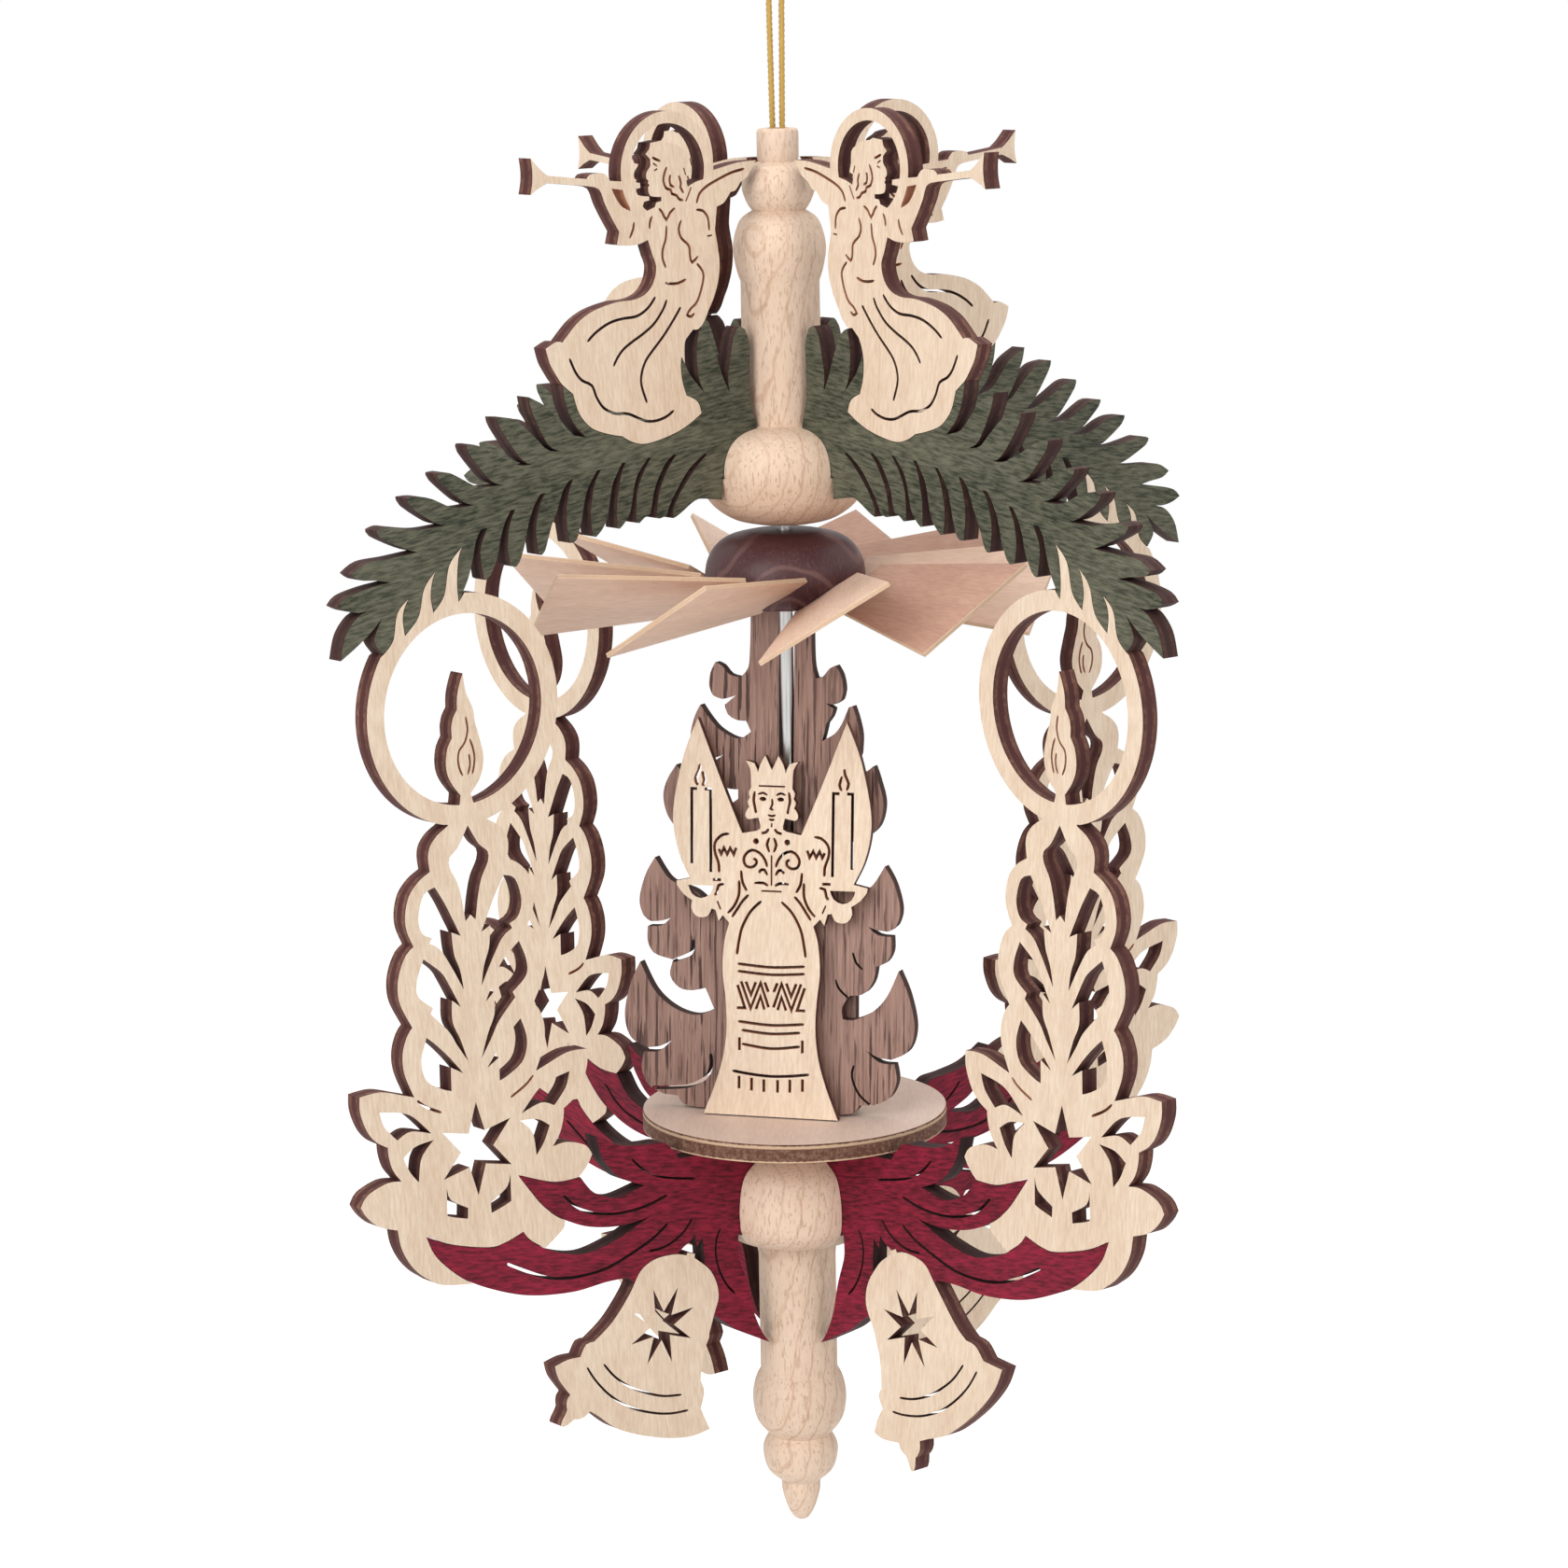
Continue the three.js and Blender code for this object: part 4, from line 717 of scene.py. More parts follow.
bell["crown"] = {  # with the small tab, by whether the bell is turned over
    False: [[(21.5, -181.2), (19.1, -174.5), (17.9, -170.8), (19.3, -166.8), (22.7, -163.75)], [(22.6, -163.1)],
            [(24.1, -162.6)], [(24.35, -163)], [(26.3, -162.4), (28.7, -162.2)]],
    True: [[(21.5, -181.2), (19.1, -174.5), (17.9, -170.8), (19.3, -166.8), (20.8, -165.1)], [(20.5, -164.6)],
           [(21.8, -163.7)], [(22.2, -164.05)], [(25.2, -162.75), (28.7, -162.2)]]}
bell["lines"] = [
    [(26, -185.9), (29.6, -185.3), (33, -184), (36.4, -182.2), (39.4, -179.8), (41.5, -177.3)],
    [(24.7, -188.8), (28.4, -188.5), (32.4, -187.4), (36.6, -185.5), (40.4, -182.7), (43.2, -179.6), (44.8, -177.1)],
]


def bellLoops(turned):
    middle = Vector(bell["middle"])
    axis = roundPoint((0, 0), 1, 1, bell["tilt"])

    def put(point):
        arm = Vector(point) - middle
        return tuple(middle + 2 * arm.dot(axis) * axis - arm) if turned else point

    body = closedLoop(put(bell["start"]), *[[put(p) for p in run] for run in bell["runs"] + bell["crown"][turned]])
    lines = [sawLine([put(p) for p in line], saw["fine"]) for line in bell["lines"]]
    return [body, starLoop(bell["middle"], *bell["star"])] + lines


panels = {"front_left": 225, "front_right": 315, "back_right": 45, "back_left": 135}
turnedBells = ("front_right", "back_left")


def sawnPlate(loops, face, rim, *neighbours):
    mesh = plateMesh(loops, plyThickness)
    if neighbours:
        mesh = cutMesh(mesh, *[plateMesh([grownLoop(loop, plateGap)], plyThickness + cutOver) for loop in neighbours])
    return dressPlate(mesh, plyThickness, face, rim)


def addPanels():
    angelBody, sprayBody = angelLoops(), sprayLoops()
    spikes = closedLoop(*column["spikeStart"], *column["spikes"], *column["spikeFoot"])
    notch = closedLoop(*spray["notch"])
    angelMesh = sawnPlate(angelBody, birchFace, birchRim)
    branchMesh = sawnPlate([branchLoop()], greenFace, greenRim, angelBody[0], spikes)
    columnMesh = sawnPlate(columnLoops(), birchFace, birchRim, sprayBody[0])
    for side, degrees in panels.items():
        place = drop @ Matrix.Rotation(math.radians(degrees), 4, "Z")
        bellBody = bellLoops(side in turnedBells)
        bellMesh = sawnPlate(bellBody, birchFace, birchRim)
        sprayMesh = sawnPlate(sprayBody, redFace, redRim, bellBody[0], notch)
        for kind, mesh, slot in (
                ("angel", angelMesh.copy(), "birch_ply"), ("fir_branch", branchMesh.copy(), "green_ply"),
                ("column", columnMesh.copy(), "birch_ply"), ("spray", sprayMesh, "red_ply"),
                ("bell", bellMesh, "birch_ply")):
            addPiece(f"{kind}Plate_{side}", mesh, "frame", slot, place, f"{kind}_{side}")
    print("panels sawn")


addPanels()


# turned pieces: half a profile spun round the upright axis
def spunMesh(start, *runs, sides=72, step=0.5):
    shape = bmesh.new()
    verts = [shape.verts.new((p.x * mm, 0, p.y * mm)) for p in curvePoints(start, runs, step)]
    edges = [shape.edges.new((a, b)) for a, b in zip(verts, verts[1:])]
    if (Vector(start) - Vector(runs[-1][-1])).length < sameSpot:
        edges.append(shape.edges.new((verts[-1], verts[0])))
    bmesh.ops.spin(shape, geom=verts + edges, cent=(0, 0, 0), axis=(0, 0, 1), dvec=(0, 0, 0), angle=2 * math.pi,
                   steps=sides, use_merge=True)
    bmesh.ops.remove_doubles(shape, verts=shape.verts[:], dist=weld)
    bmesh.ops.recalc_face_normals(shape, faces=shape.faces[:])
    return toMesh(shape)


def boxMesh(low, high, turn=0.0):
    shape = bmesh.new()
    bmesh.ops.create_cube(shape, size=1)
    size = Vector(high) - Vector(low)
    bmesh.ops.scale(shape, vec=size * mm, verts=shape.verts[:])
    bmesh.ops.translate(shape, vec=(Vector(low) + Vector(high)) / 2 * mm, verts=shape.verts[:])
    bmesh.ops.rotate(shape, cent=(0, 0, 0), matrix=Matrix.Rotation(math.radians(turn), 3, "Z"), verts=shape.verts[:])
    return toMesh(shape)


def smoothMesh(mesh, material, angle=40):
    mesh.materials.clear()
    mesh.materials.append(material)
    for polygon in mesh.polygons:
        polygon.use_smooth = True
        polygon.material_index = 0
    mesh.set_sharp_from_angle(angle=math.radians(angle))
    return mesh


# solid turned wood on Object coordinates: growth rings round a far pith, and short dashes along the grain
def turnedWood(name, pale, deep, ringTint, dashTint, grain, roughness, coat=0.0):
    material, tree, shader = newMaterial(name, roughness)
    shader.inputs["Coat Weight"].default_value = coat
    shader.inputs["Coat Roughness"].default_value = 0.3
    place = objectPlace(tree)
    pith = mapped(tree, place, Location=grain["pith"], Rotation=[math.radians(a) for a in grain["lean"]])
    rings = addNode(tree, "TexWave", wave_type="RINGS", rings_direction=grain["along"], Vector=pith,
                    Scale=grain["rings"], Distortion=2.2, Detail=2.0, **{"Detail Scale": 1.6})
    stretch = mapped(tree, place, Scale=(1, 1, 0.2))
    slow = noise(tree, place, 60.0, 3.0)
    ring = scaled(tree, rampNode(tree, rings.outputs["Fac"], (0.0, 0.0), (0.93, 0.08), (0.99, 1.0)),
                  rampNode(tree, slow, (0.36, 0.4), (0.56, 1.0)))
    short = rampNode(tree, noise(tree, stretch, 2900.0, 2.0, 0.6), (0.57, 0.0), (0.64, 1.0))
    tears = rampNode(tree, noise(tree, stretch, 900.0, 3.0, 0.6), (0.61, 0.0), (0.7, 0.9))
    dash = mathNode(tree, "MAXIMUM", short, tears)
    hair = rampNode(tree, noise(tree, stretch, 2600.0, 4.0, 0.7), (0.36, 0.0), (0.7, 1.0))
    patch = rampNode(tree, slow, (0.32, 0.0), (0.7, 1.0))
    ground = mixColour(tree, weighted(tree, (hair, 0.4), (patch, 0.35)), pale, deep)
    ringed = mixColour(tree, scaled(tree, ring, 0.65), ground, ringTint)
    paint(tree, shader, mixColour(tree, scaled(tree, dash, 0.55), ringed, dashTint), dash, 0.35, 0.00012)
    return material


# walnut veneer: long dark veins along the plate's height over a mild brown
def veinedWood(name, pale, deep, vein, roughness):
    material, tree, shader = newMaterial(name, roughness)
    long = mapped(tree, plateMap(tree), Scale=(1, 0.04, 1))
    thin = rampNode(tree, noise(tree, long, 1600.0, 3.0, 0.6), (0.54, 0.0), (0.58, 1.0))
    where = rampNode(tree, noise(tree, long, 210.0, 2.0), (0.36, 0.35), (0.56, 1.0))
    fine = rampNode(tree, noise(tree, long, 2300.0, 3.0, 0.6), (0.35, 0.0), (0.68, 1.0))
    ground = mixColour(tree, scaled(tree, fine, 0.8), pale, deep)
    paint(tree, shader, mixColour(tree, scaled(tree, thin, where), ground, vein), fine, 0.4)
    return material


# edge of the disc's plywood, from below: pale, a broad brown speckled band, pale, and a thin dark line at the top
def bandedRim(name, pale, brown):
    material, tree, shader = newMaterial(name, 0.7, bareSheen)
    speckle = noise(tree, objectPlace(tree), 1300.0, 4.0, 0.65)
    depth = wobbled(tree, attribute(tree, "across"), speckle, 0.22)
    depth = scaled(tree, mathNode(tree, "ADD", depth, 1.0), 0.5)
    band = rampNode(tree, depth, (0.06, 0.1), (0.11, 1.0), (0.74, 1.0), (0.79, 0.25), (0.9, 0.25), (0.94, 1.0))
    grit = rampNode(tree, speckle, (0.34, 0.8), (0.56, 1.0))
    paint(tree, shader, mixColour(tree, scaled(tree, band, grit), pale, brown), speckle, 0.3, 0.0002)
    return material


def plainMetal(name, pale, deep, roughness, stretch):
    material, tree, shader = newMaterial(name, roughness, 0.5)
    shader.inputs["Metallic"].default_value = 1.0
    drawn = noise(tree, mapped(tree, objectPlace(tree), Scale=stretch), 2400.0, 4.0)
    line = rampNode(tree, drawn, (0.35, 0.0), (0.65, 1.0))
    paint(tree, shader, mixColour(tree, line, pale, deep), line, 0.1, 0.00005)
    return material


beechTurned = turnedWood(
    "beechTurned", (0.82, 0.63, 0.485), (0.71, 0.51, 0.37), (0.58, 0.365, 0.24), (0.47, 0.28, 0.18),
    {"pith": (0.009, 0.021, 0), "lean": (6, -9, 0), "along": "Z", "rings": 125.0}, 0.5)
stainedHub = turnedWood(
    "stainedHub", (0.078, 0.023, 0.025), (0.04, 0.012, 0.014), (0.19, 0.095, 0.085), (0.13, 0.055, 0.052),
    {"pith": (-0.002, 0, 0.1055), "lean": (0, 0, 0), "along": "Y", "rings": 62.0}, 0.45, 0.04)
veneerFace = woodFace("veneerFace", (0.83, 0.61, 0.48), (0.62, 0.41, 0.305), 0.7, 90, 0.55)
# a darker, redder copy of the blade veneer: painted shade for the blades turned away from the key light
veneerPaintedShade = woodFace("veneerPaintedShade", (0.62, 0.375, 0.28), (0.43, 0.24, 0.175), 0.7, 90, 0.55)
veneerRim = rimWood("veneerRim", (0.66, 0.45, 0.30), (0.84, 0.66, 0.50), (0.6, 0.38, 0.25), 0.6)
walnutFace = veinedWood("walnutFace", (0.40, 0.245, 0.195), (0.21, 0.113, 0.088), (0.07, 0.033, 0.027), 0.65)
walnutRim = rimWood("walnutRim", (0.05, 0.022, 0.018), (0.14, 0.07, 0.05), (0.1, 0.05, 0.04))
discFace = woodFace("discFace", (0.84, 0.665, 0.56), (0.68, 0.505, 0.415), 0.6, 90, 0.6)
discRim = bandedRim("discRim", (0.72, 0.50, 0.33), (0.12, 0.05, 0.033))
steelRod = plainMetal("steelRod", (0.66, 0.65, 0.63), (0.42, 0.41, 0.40), 0.3, (1, 1, 0.02))
brassBush = plainMetal("brassBush", (0.62, 0.38, 0.10), (0.46, 0.26, 0.05), 0.3, (1, 1, 0.1))
print("turned finishes made")

finials = {"slotWidth": 3.3, "slotReach": 18, "upperSlot": (6.35, -39.25, -28), "lowerSlot": (8.3, -162, -147)}
finials["upper"] = [
    (0, 8), [(1.7, 8)], [(1.7, 14.5)], [(2.6, 14.5)], [(2.95, 14.42), (3.15, 14.2), (3.28, 13.8)], [(3.28, 10)],
    [(3.1, 9.4)], [(4.9, 8.2), (5.76, 5.6), (5.1, 3.2), (4.2, 1.8)], [(6.2, 0.2), (7.3, -3.6), (6.9, -7), (6.2, -9.3)],
    [(6.3, -28)], [(5.9, -31.7)],
    [(9, -32.3), (11.4, -33.5), (12.9, -35.5), (13.5, -38), (13.2, -40.8), (11.6, -44.1), (8.4, -46.5), (5, -47.4)],
    [(3.4, -47.4)], [(3.4, -36)], [(0, -36)]]
finials["lower"] = [
    (0, -156.3), [(3.4, -156.3)], [(3.4, -149.2)], [(7, -149.2)],
    [(9.6, -150.2), (12.2, -152.4), (13.2, -155.6), (13.4, -159.2), (12.9, -162), (10.6, -164.3), (6.5, -165.4)],
    [(6.3, -168)], [(6.3, -187.4)], [(7.2, -189.2), (7.7, -192.2), (7.1, -195.8), (5.1, -198.5)],
    [(6, -200.2), (6.15, -201.9), (5.4, -204.6), (3.25, -206.6)],
    [(3.1, -208.6), (2.3, -211.3), (1.2, -213.2), (0, -213.7)]]
bearings = {  # profiles of the two bearings inside the finials
    "bush": [(0, -36.3), [(3.1, -36.3)], [(3.1, -47.4)], [(1.4, -47.4)], [(1.4, -37)], [(0, -37)]],
    "cup": [(0, -156), [(3.1, -156)], [(3.1, -149.2)], [(2, -149.2)], [(1.4, -150.2)], [(1.4, -152.8)], [(0, -153.9)]]}


def addTurned(name, mesh, material, body, slot, node):
    addPiece(name, smoothMesh(mesh, material), body, slot, drop, node)


def addFinials():
    half = finials["slotWidth"] / 2
    for name in ("upper", "lower"):
        inner, low, high = finials[f"{name}Slot"]
        slots = [boxMesh((inner, -half, low), (finials["slotReach"], half, high), turn) for turn in panels.values()]
        mesh = cutMesh(spunMesh(*finials[name]), *slots)
        addTurned(f"{name}Finial", mesh, beechTurned, "frame", "turned_beech", f"{name}_finial")
    addTurned("guideBush", spunMesh(*bearings["bush"], sides=48), brassBush, "frame", "brass", "guide_bush")
    addTurned("bearingCup", spunMesh(*bearings["cup"], sides=48), steelRod, "frame", "steel", "bearing_cup")
    print("finials turned")


addFinials()

rotor = {"angle": -10.8, "bore": 1.3, "bladeCount": 10, "bladeFirst": -86.8, "pitch": 31.3, "root": 9.8, "tip": 41.2,
         "rootWidth": 11.2, "tipWidth": 23.1, "bladeThickness": 0.8, "bladeOffset": 8.3, "bladeHeight": -61.8,
         "bladePlay": 0.1, "bladeBevel": 0.12, "paintedShadeBlades": (2, 4, 5),
         "discRadius": 24.7, "discTop": -142.9, "discThickness": 3.0, "discEdge": 0.12}
rotor["hub"] = [[(11.2, -60.1)], [(11.8, -60), (12.3, -59.6), (12.5, -59)],
                [(12.8, -56.5), (12.4, -53.4), (11, -51), (8.8, -49.5), (5.5, -48.7)], [(rotor["bore"], -48.7)],
                [(rotor["bore"], -60.1)]]
rotor["rod"] = [(0, -153.6), [(1.1, -152)], [(1.1, -38.4)], [(0.7, -38)], [(0, -38)]]


def bladeMesh(growth):
    slope = (rotor["tipWidth"] - rotor["rootWidth"]) / 2 / (rotor["tip"] - rotor["root"])
    root = rotor["root"] - growth
    rootHalf = rotor["rootWidth"] / 2 - slope * growth + growth
    tipHalf = rotor["tipWidth"] / 2 + growth
    tip, middle = rotor["tip"], rotor["bladeOffset"]
    loop = [Vector((u, middle + v)) for u, v in ((root, -rootHalf), (tip, -tipHalf), (tip, tipHalf), (root, rootHalf))]
    return plateMesh([loop], rotor["bladeThickness"] + 2 * growth)


def bladePlace(i):
    angle = rotor["bladeFirst"] + 360 * i / rotor["bladeCount"]
    return (Matrix.Translation((0, 0, rotor["bladeHeight"] * mm)) @ Matrix.Rotation(math.radians(angle), 4, "Z")
            @ Matrix.Rotation(math.radians(rotor["pitch"] - 90), 4, "X"))


def addRotor():
    tools = []
    for i in range(rotor["bladeCount"]):
        tool = bladeMesh(rotor["bladePlay"])
        tool.transform(bladePlace(i))
        tools.append(tool)
        # some blades take the darker veneer copy: painted shade on the blades turned away from the key light
        face = veneerPaintedShade if i + 1 in rotor["paintedShadeBlades"] else veneerFace
        blade = dressPlate(bevelMesh(bladeMesh(0), rotor["bladeBevel"]), rotor["bladeThickness"], face, veneerRim)
        addPiece(f"rotorBlade_{i + 1:02d}", blade, "rotor", "veneer", drop @ bladePlace(i), f"blade_{i + 1:02d}")
    hub = cutMesh(spunMesh((rotor["bore"], -60.1), *rotor["hub"]), *tools)
    addTurned("rotorHub", hub, stainedHub, "rotor", "dark_hub", "rotor_hub")
    addTurned("steelShaft", spunMesh(*rotor["rod"], sides=40), steelRod, "rotor", "steel", "shaft")
    addDisc()
    print("rotor built")


# plywood disc with a fine chamfer; its flat faces carry the plate map
def addDisc():
    top, radius, bore, edge = rotor["discTop"], rotor["discRadius"], rotor["bore"], rotor["discEdge"]
    low = top - rotor["discThickness"]
    mesh = spunMesh((bore, low), [(radius - edge, low)], [(radius, low + edge)], [(radius, top - edge)],
                    [(radius - edge, top)], [(bore, top)], [(bore, low)], sides=120)
    dressPlate(mesh, rotor["discThickness"], discFace, discRim, axis=2, middle=(top + low) / 2, flatness=0.9, sharp=30)
    addPiece("turntableDisc", mesh, "rotor", "birch_ply", drop, "turntable_disc")


addRotor()

# tree and light bearer stand on the disc and lean back a little
stand = {"lean": 4.6, "clear": 0.12}
batten = {"side": 10.2, "width": 1.8, "depth": 2.0, "height": 28.0, "gap": 0.3, "bevel": 0.2}
tree = {"thickness": 2.5, "front": 5.9, "centre": -2.5, "trunkTop": 80.9, "slotFoot": 26, "slotWidth": 2.5,
        "lowLeft": 44, "lowLeftShift": 0.6, "kerfWidth": (0.6, 0.38)}  # kerfs are wider on the left
tree["upper"] = {  # by side: 1 right, -1 left, as distance from the middle and height
    1: [[(11.5, 70.9), (11.9, 68.6), (11.5, 67)], [(10.5, 66.3), (9, 66.4)], [(10.3, 65.6)],
        [(9.9, 64.3), (9.1, 63.2)], [(8.8, 61.8), (8.4, 60.3)],
        [(9.2, 60.8), (10.5, 61.6), (11.6, 63.1), (12.8, 65.9)], [(13.4, 66.1)],
        [(14, 64.5), (14.7, 61.5), (14.6, 58.5)], [(13.8, 56.6), (12.8, 56.2)], [(15.2, 55.5), (16.9, 56.6)],
        [(17.7, 54.4), (18.6, 50.6), (17.8, 47), (15.4, 44.8)]],
    -1: [[(10.2, 70.8), (10.4, 68.6), (9.8, 67.2)], [(8.2, 66.6), (5.9, 67.3)], [(7.8, 65.7)],
         [(7.3, 64.2), (5.8, 63.3), (4.2, 63.2)], [(3.4, 61.5)], [(5.5, 60.3), (8.5, 61.6), (10.3, 63.4), (11.9, 65.6)],
         [(12.8, 63.8), (13.5, 61), (13.3, 58.3), (12.2, 57.1)], [(10, 56.9), (7.75, 57.8)], [(10.3, 56)],
         [(9.5, 53.8), (7.9, 52.4), (6.2, 52.1)], [(5.5, 52.1)], [(5.5, 50.6)],
         [(7.5, 49.4), (9.8, 49.7), (13.2, 52.3), (15.9, 55.8)],
         [(17.4, 53.4), (18.1, 50.7), (17.3, 47.4), (15.2, 44.8)]]}
tree["waist"] = {
    1: [[(13, 44.2)], [(12.7, 40.2), (13.5, 36.2)], [(16.6, 37.2), (18.9, 40.6)]],
    -1: [[(12.4, 44.4)], [(10, 41.5), (8.5, 38), (8, 33.2)],
         [(9.4, 33.4), (12, 35.4), (14.6, 36.3), (16.7, 37.4), (18.9, 40.6)]]}
tree["middle"] = [
    [(20.5, 37.7), (21.5, 33.7), (20.8, 31), (19.5, 30.1)], [(17.6, 30.3), (16.2, 30.8)],
    [(17.8, 29.5), (20.1, 29.3)], [(20.1, 26.8), (19.1, 25), (17.6, 24.4)]]
tree["notch"] = {
    1: [[(17.5, 23.8)], [(17.2, 22.2), (16.4, 20.7), (15.2, 19.7), (13.3, 19.5)], [(12, 17.6), (12.1, 15.6)],
        [(13.6, 15.5), (15.6, 16.2), (17.6, 17.5), (19.5, 19.8), (21.3, 23.8)]],
    -1: [[(15.8, 24)], [(16.3, 21.4), (14.8, 19.5), (12.7, 19.1), (10.3, 19.6)], [(8.8, 16.2)],
         [(11.9, 15.1), (15.6, 16.1), (18.9, 18.8), (21.4, 23.4)]]}
tree["bottom"] = [
    [(23, 19.8), (24, 14.8), (23, 11), (20.2, 9.4)], [(18, 9.7), (16, 10.7)], [(18.2, 8.9), (20.7, 8.7)],
    [(21.1, 5.9), (19.9, 3.2), (17.4, 1.9)], [(14.9, 1.7)], [(14.1, 0.5), (11.9, 0)]]
tree["trunk"] = {1: [[(6.5, 80.9)], [(6.6, 75), (6.8, 72.2), (7.3, 70.4)], [(8.4, 70.6), (9.6, 72), (10.6, 72.5)]],
                 -1: [[(-3.5, 80.9)], [(-3.6, 75), (-3.9, 71.8), (-5.2, 70.2)], [(-7, 70.6), (-8.3, 72), (-9.4, 72.5)]]}
tree["kerfs"] = [  # saw cuts that run in from the edge between two leaves
    [(14, 8.2), (13.7, 6.3), (14.9, 3.5), (17.4, 1.4)],
    [(-10, 8.9), (-9.9, 7), (-10.6, 5.2), (-12.4, 3.9), (-14.8, 3.2), (-19.9, 2.8)],
    [(13.7, 26.5), (14.3, 24.8), (15.4, 23.8)], [(-13, 27.4), (-13.4, 25.2), (-16.4, 23.8)],
    [(10.9, 22), (11.4, 20.6), (13.1, 19)]]


def treeLoop():
    top, slotLeft = tree["trunkTop"], -tree["centre"] - tree["slotWidth"] / 2
    slotRight = slotLeft + tree["slotWidth"]
    sides = {}
    for sign in (1, -1):
        leaves = tree["upper"][sign] + tree["waist"][sign] + tree["middle"] + tree["notch"][sign] + tree["bottom"]
        shift = tree["lowLeftShift"] if sign < 0 else 0
        sides[sign] = tree["trunk"][sign] + [[(sign * (u + (shift if h < tree["lowLeft"] else 0)), h) for u, h in run]
                                             for run in leaves]
    return closedLoop((slotRight, top), *sides[1], sides[-1][-1][-1:], *backwardsRuns(sides[-1], (slotLeft, top)),
                      [(slotLeft, tree["slotFoot"])], [(slotRight, tree["slotFoot"])], [(slotRight, top)])


figure = {"thickness": 1.5, "front": 9.0, "centre": -1.5, "crown": (0, 56.1), "dish": (11.8, 37.1), "line": 0.48,
          "faceLine": 0.38, "wideLine": 0.66}
figure["dots"] = [(1.47, 51.42, 0.58, 0.36), (2.6, 44.57, 0.5, 0.5)]  # an eye and a stud: place, half width, half height
figure["half"] = [
    [(1.1, 58.4)], [(1.9, 57), (2.3, 55.6)], [(2.9, 57.1), (4.4, 57.5)], [(3.6, 56.2), (3.4, 53.2)],
    [(3.85, 52.4), (3.6, 51.6)], [(4, 50.9), (3.7, 50.1)], [(4.2, 49.4), (4.4, 48.6), (3.9, 48.1), (3.2, 48.2)],
    [(2.2, 48.4)], [(1.9, 46.6), (3.4, 46.1), (4.9, 45.8)], [(8.2, 53.6), (12.35, 64.1)],
    [(14.6, 58.4), (16.2, 51.2), (16.4, 46.6), (15.4, 42), (13.6, 38.2)], [(15.9, 37.7)], [(15.8, 37)],
    [(14.7, 35.6), (13.2, 34.6)], [(13.4, 33.4), (12.7, 32.2), (11.6, 31.9), (10.5, 32.3), (10, 33.4)],
    [(9.3, 33.2)], [(8.8, 31.4)], [(8.1, 32.4)], [(7, 31.2)],
    [(7.8, 28.2), (8.1, 23.6), (7.6, 19), (7.4, 14.4), (7.9, 9.8), (9.2, 5.2), (11.2, 0)],
]
figure["dishHole"] = [(-2.1, 0), (-1.5, -1.4), (0, -2.1), (1.5, -1.4), (2.1, 0)]
figure["face"] = [  # saw lines right of the middle, repeated on the left; those of the face are finer
    [(0.72, 52.04), (1.47, 52.41), (2.31, 52.13)]]
figure["curves"] = [
    [(2.82, 52.6), (3.01, 51.29), (2.73, 49.71), (2.6, 49.1)],
    [(0.49, 46.67), (0.86, 46.16), (1.33, 45.97), (1.7, 45.9)],
    [(0.35, 45.23), (0.77, 44.11), (0.35, 42.9)],
    [(0.72, 40.5), (1.08, 41.6), (1.94, 42.66), (3.24, 43.13), (4.27, 42.48), (4.64, 41.5), (4.27, 40.56),
     (3.34, 40.33), (2.59, 40.84), (2.54, 41.5), (3.06, 41.78)],
    [(0.68, 39.16), (1.19, 40), (1.84, 39.91), (2.03, 39.44)], [(2.87, 37.81), (1.38, 37.9), (0.58, 37.44)],
    [(7.07, 45.6), (8.19, 45.41), (9.17, 44.57), (9.54, 43.5), (9.36, 42.24), (8.84, 40.84), (8.75, 39.3)],
    [(5.06, 39.77), (4.83, 37.9), (4.08, 36.5)], [(5.39, 38.14), (5.44, 35.8), (6.32, 33.8), (7.3, 32.77)],
    [(3.8, 35.9), (4.83, 34.78), (5.76, 33.38), (6.56, 32.16)],
    [(7.91, 37.44), (8.84, 37.2), (9.12, 36.04), (9.5, 35.6)],
    [(9.03, 34.68), (8.47, 33.33)],
    [(1.66, 34.96), (3.43, 33.24), (4.83, 30.67), (5.39, 28.34), (5.72, 26.14)],
]
figure["flames"] = [[(11.6, 55.49), (11.18, 54.09), (11.55, 53.16)],
                    [(11.97, 56.66), (12.11, 55.68), (12.67, 54.37), (12.34, 53.25)]]
figure["corners"] = [
    [(5.9, 43.4), (6.3, 42.3), (6.9, 43.3), (7.4, 42.3), (7.95, 43.3), (8.4, 42.3), (8.8, 43.1)],
    [(10.1, 39.3), (10.2, 52.7), (11.2, 52.7)], [(13.3, 40.6), (13.35, 52.7), (12.45, 52.7)],
    [(8.4, 38.1), (9.8, 38.1)],
    [(5, 21.8), (3.4, 17.5), (1.75, 21.7), (0.4, 17.8)], [(4.2, 21.8), (3.35, 19.7), (2.55, 21.8)],
    [(2.5, 17.4), (1.75, 19.5), (1.1, 17.4)], [(5.6, 21.2), (4.35, 17.5), (5.7, 17.5)],
    [(1.05, 21.8), (0.45, 20.3)],
    [(5.25, 12.7), (5.25, 10.6)], [(1.15, 6.05), (1.15, 4)], [(3.2, 6.2), (3.2, 4.1)], [(5.3, 6.4), (5.3, 4.35)],
]
figure["features"] = [[(0.05, 51.5), (0.1, 50.6), (-0.2, 49.9), (0.3, 49.7)], [(-0.65, 48.9), (0, 48.7), (0.65, 48.9)],
                      [(-0.45, 48.25), (0, 48.05), (0.45, 48.25)]]
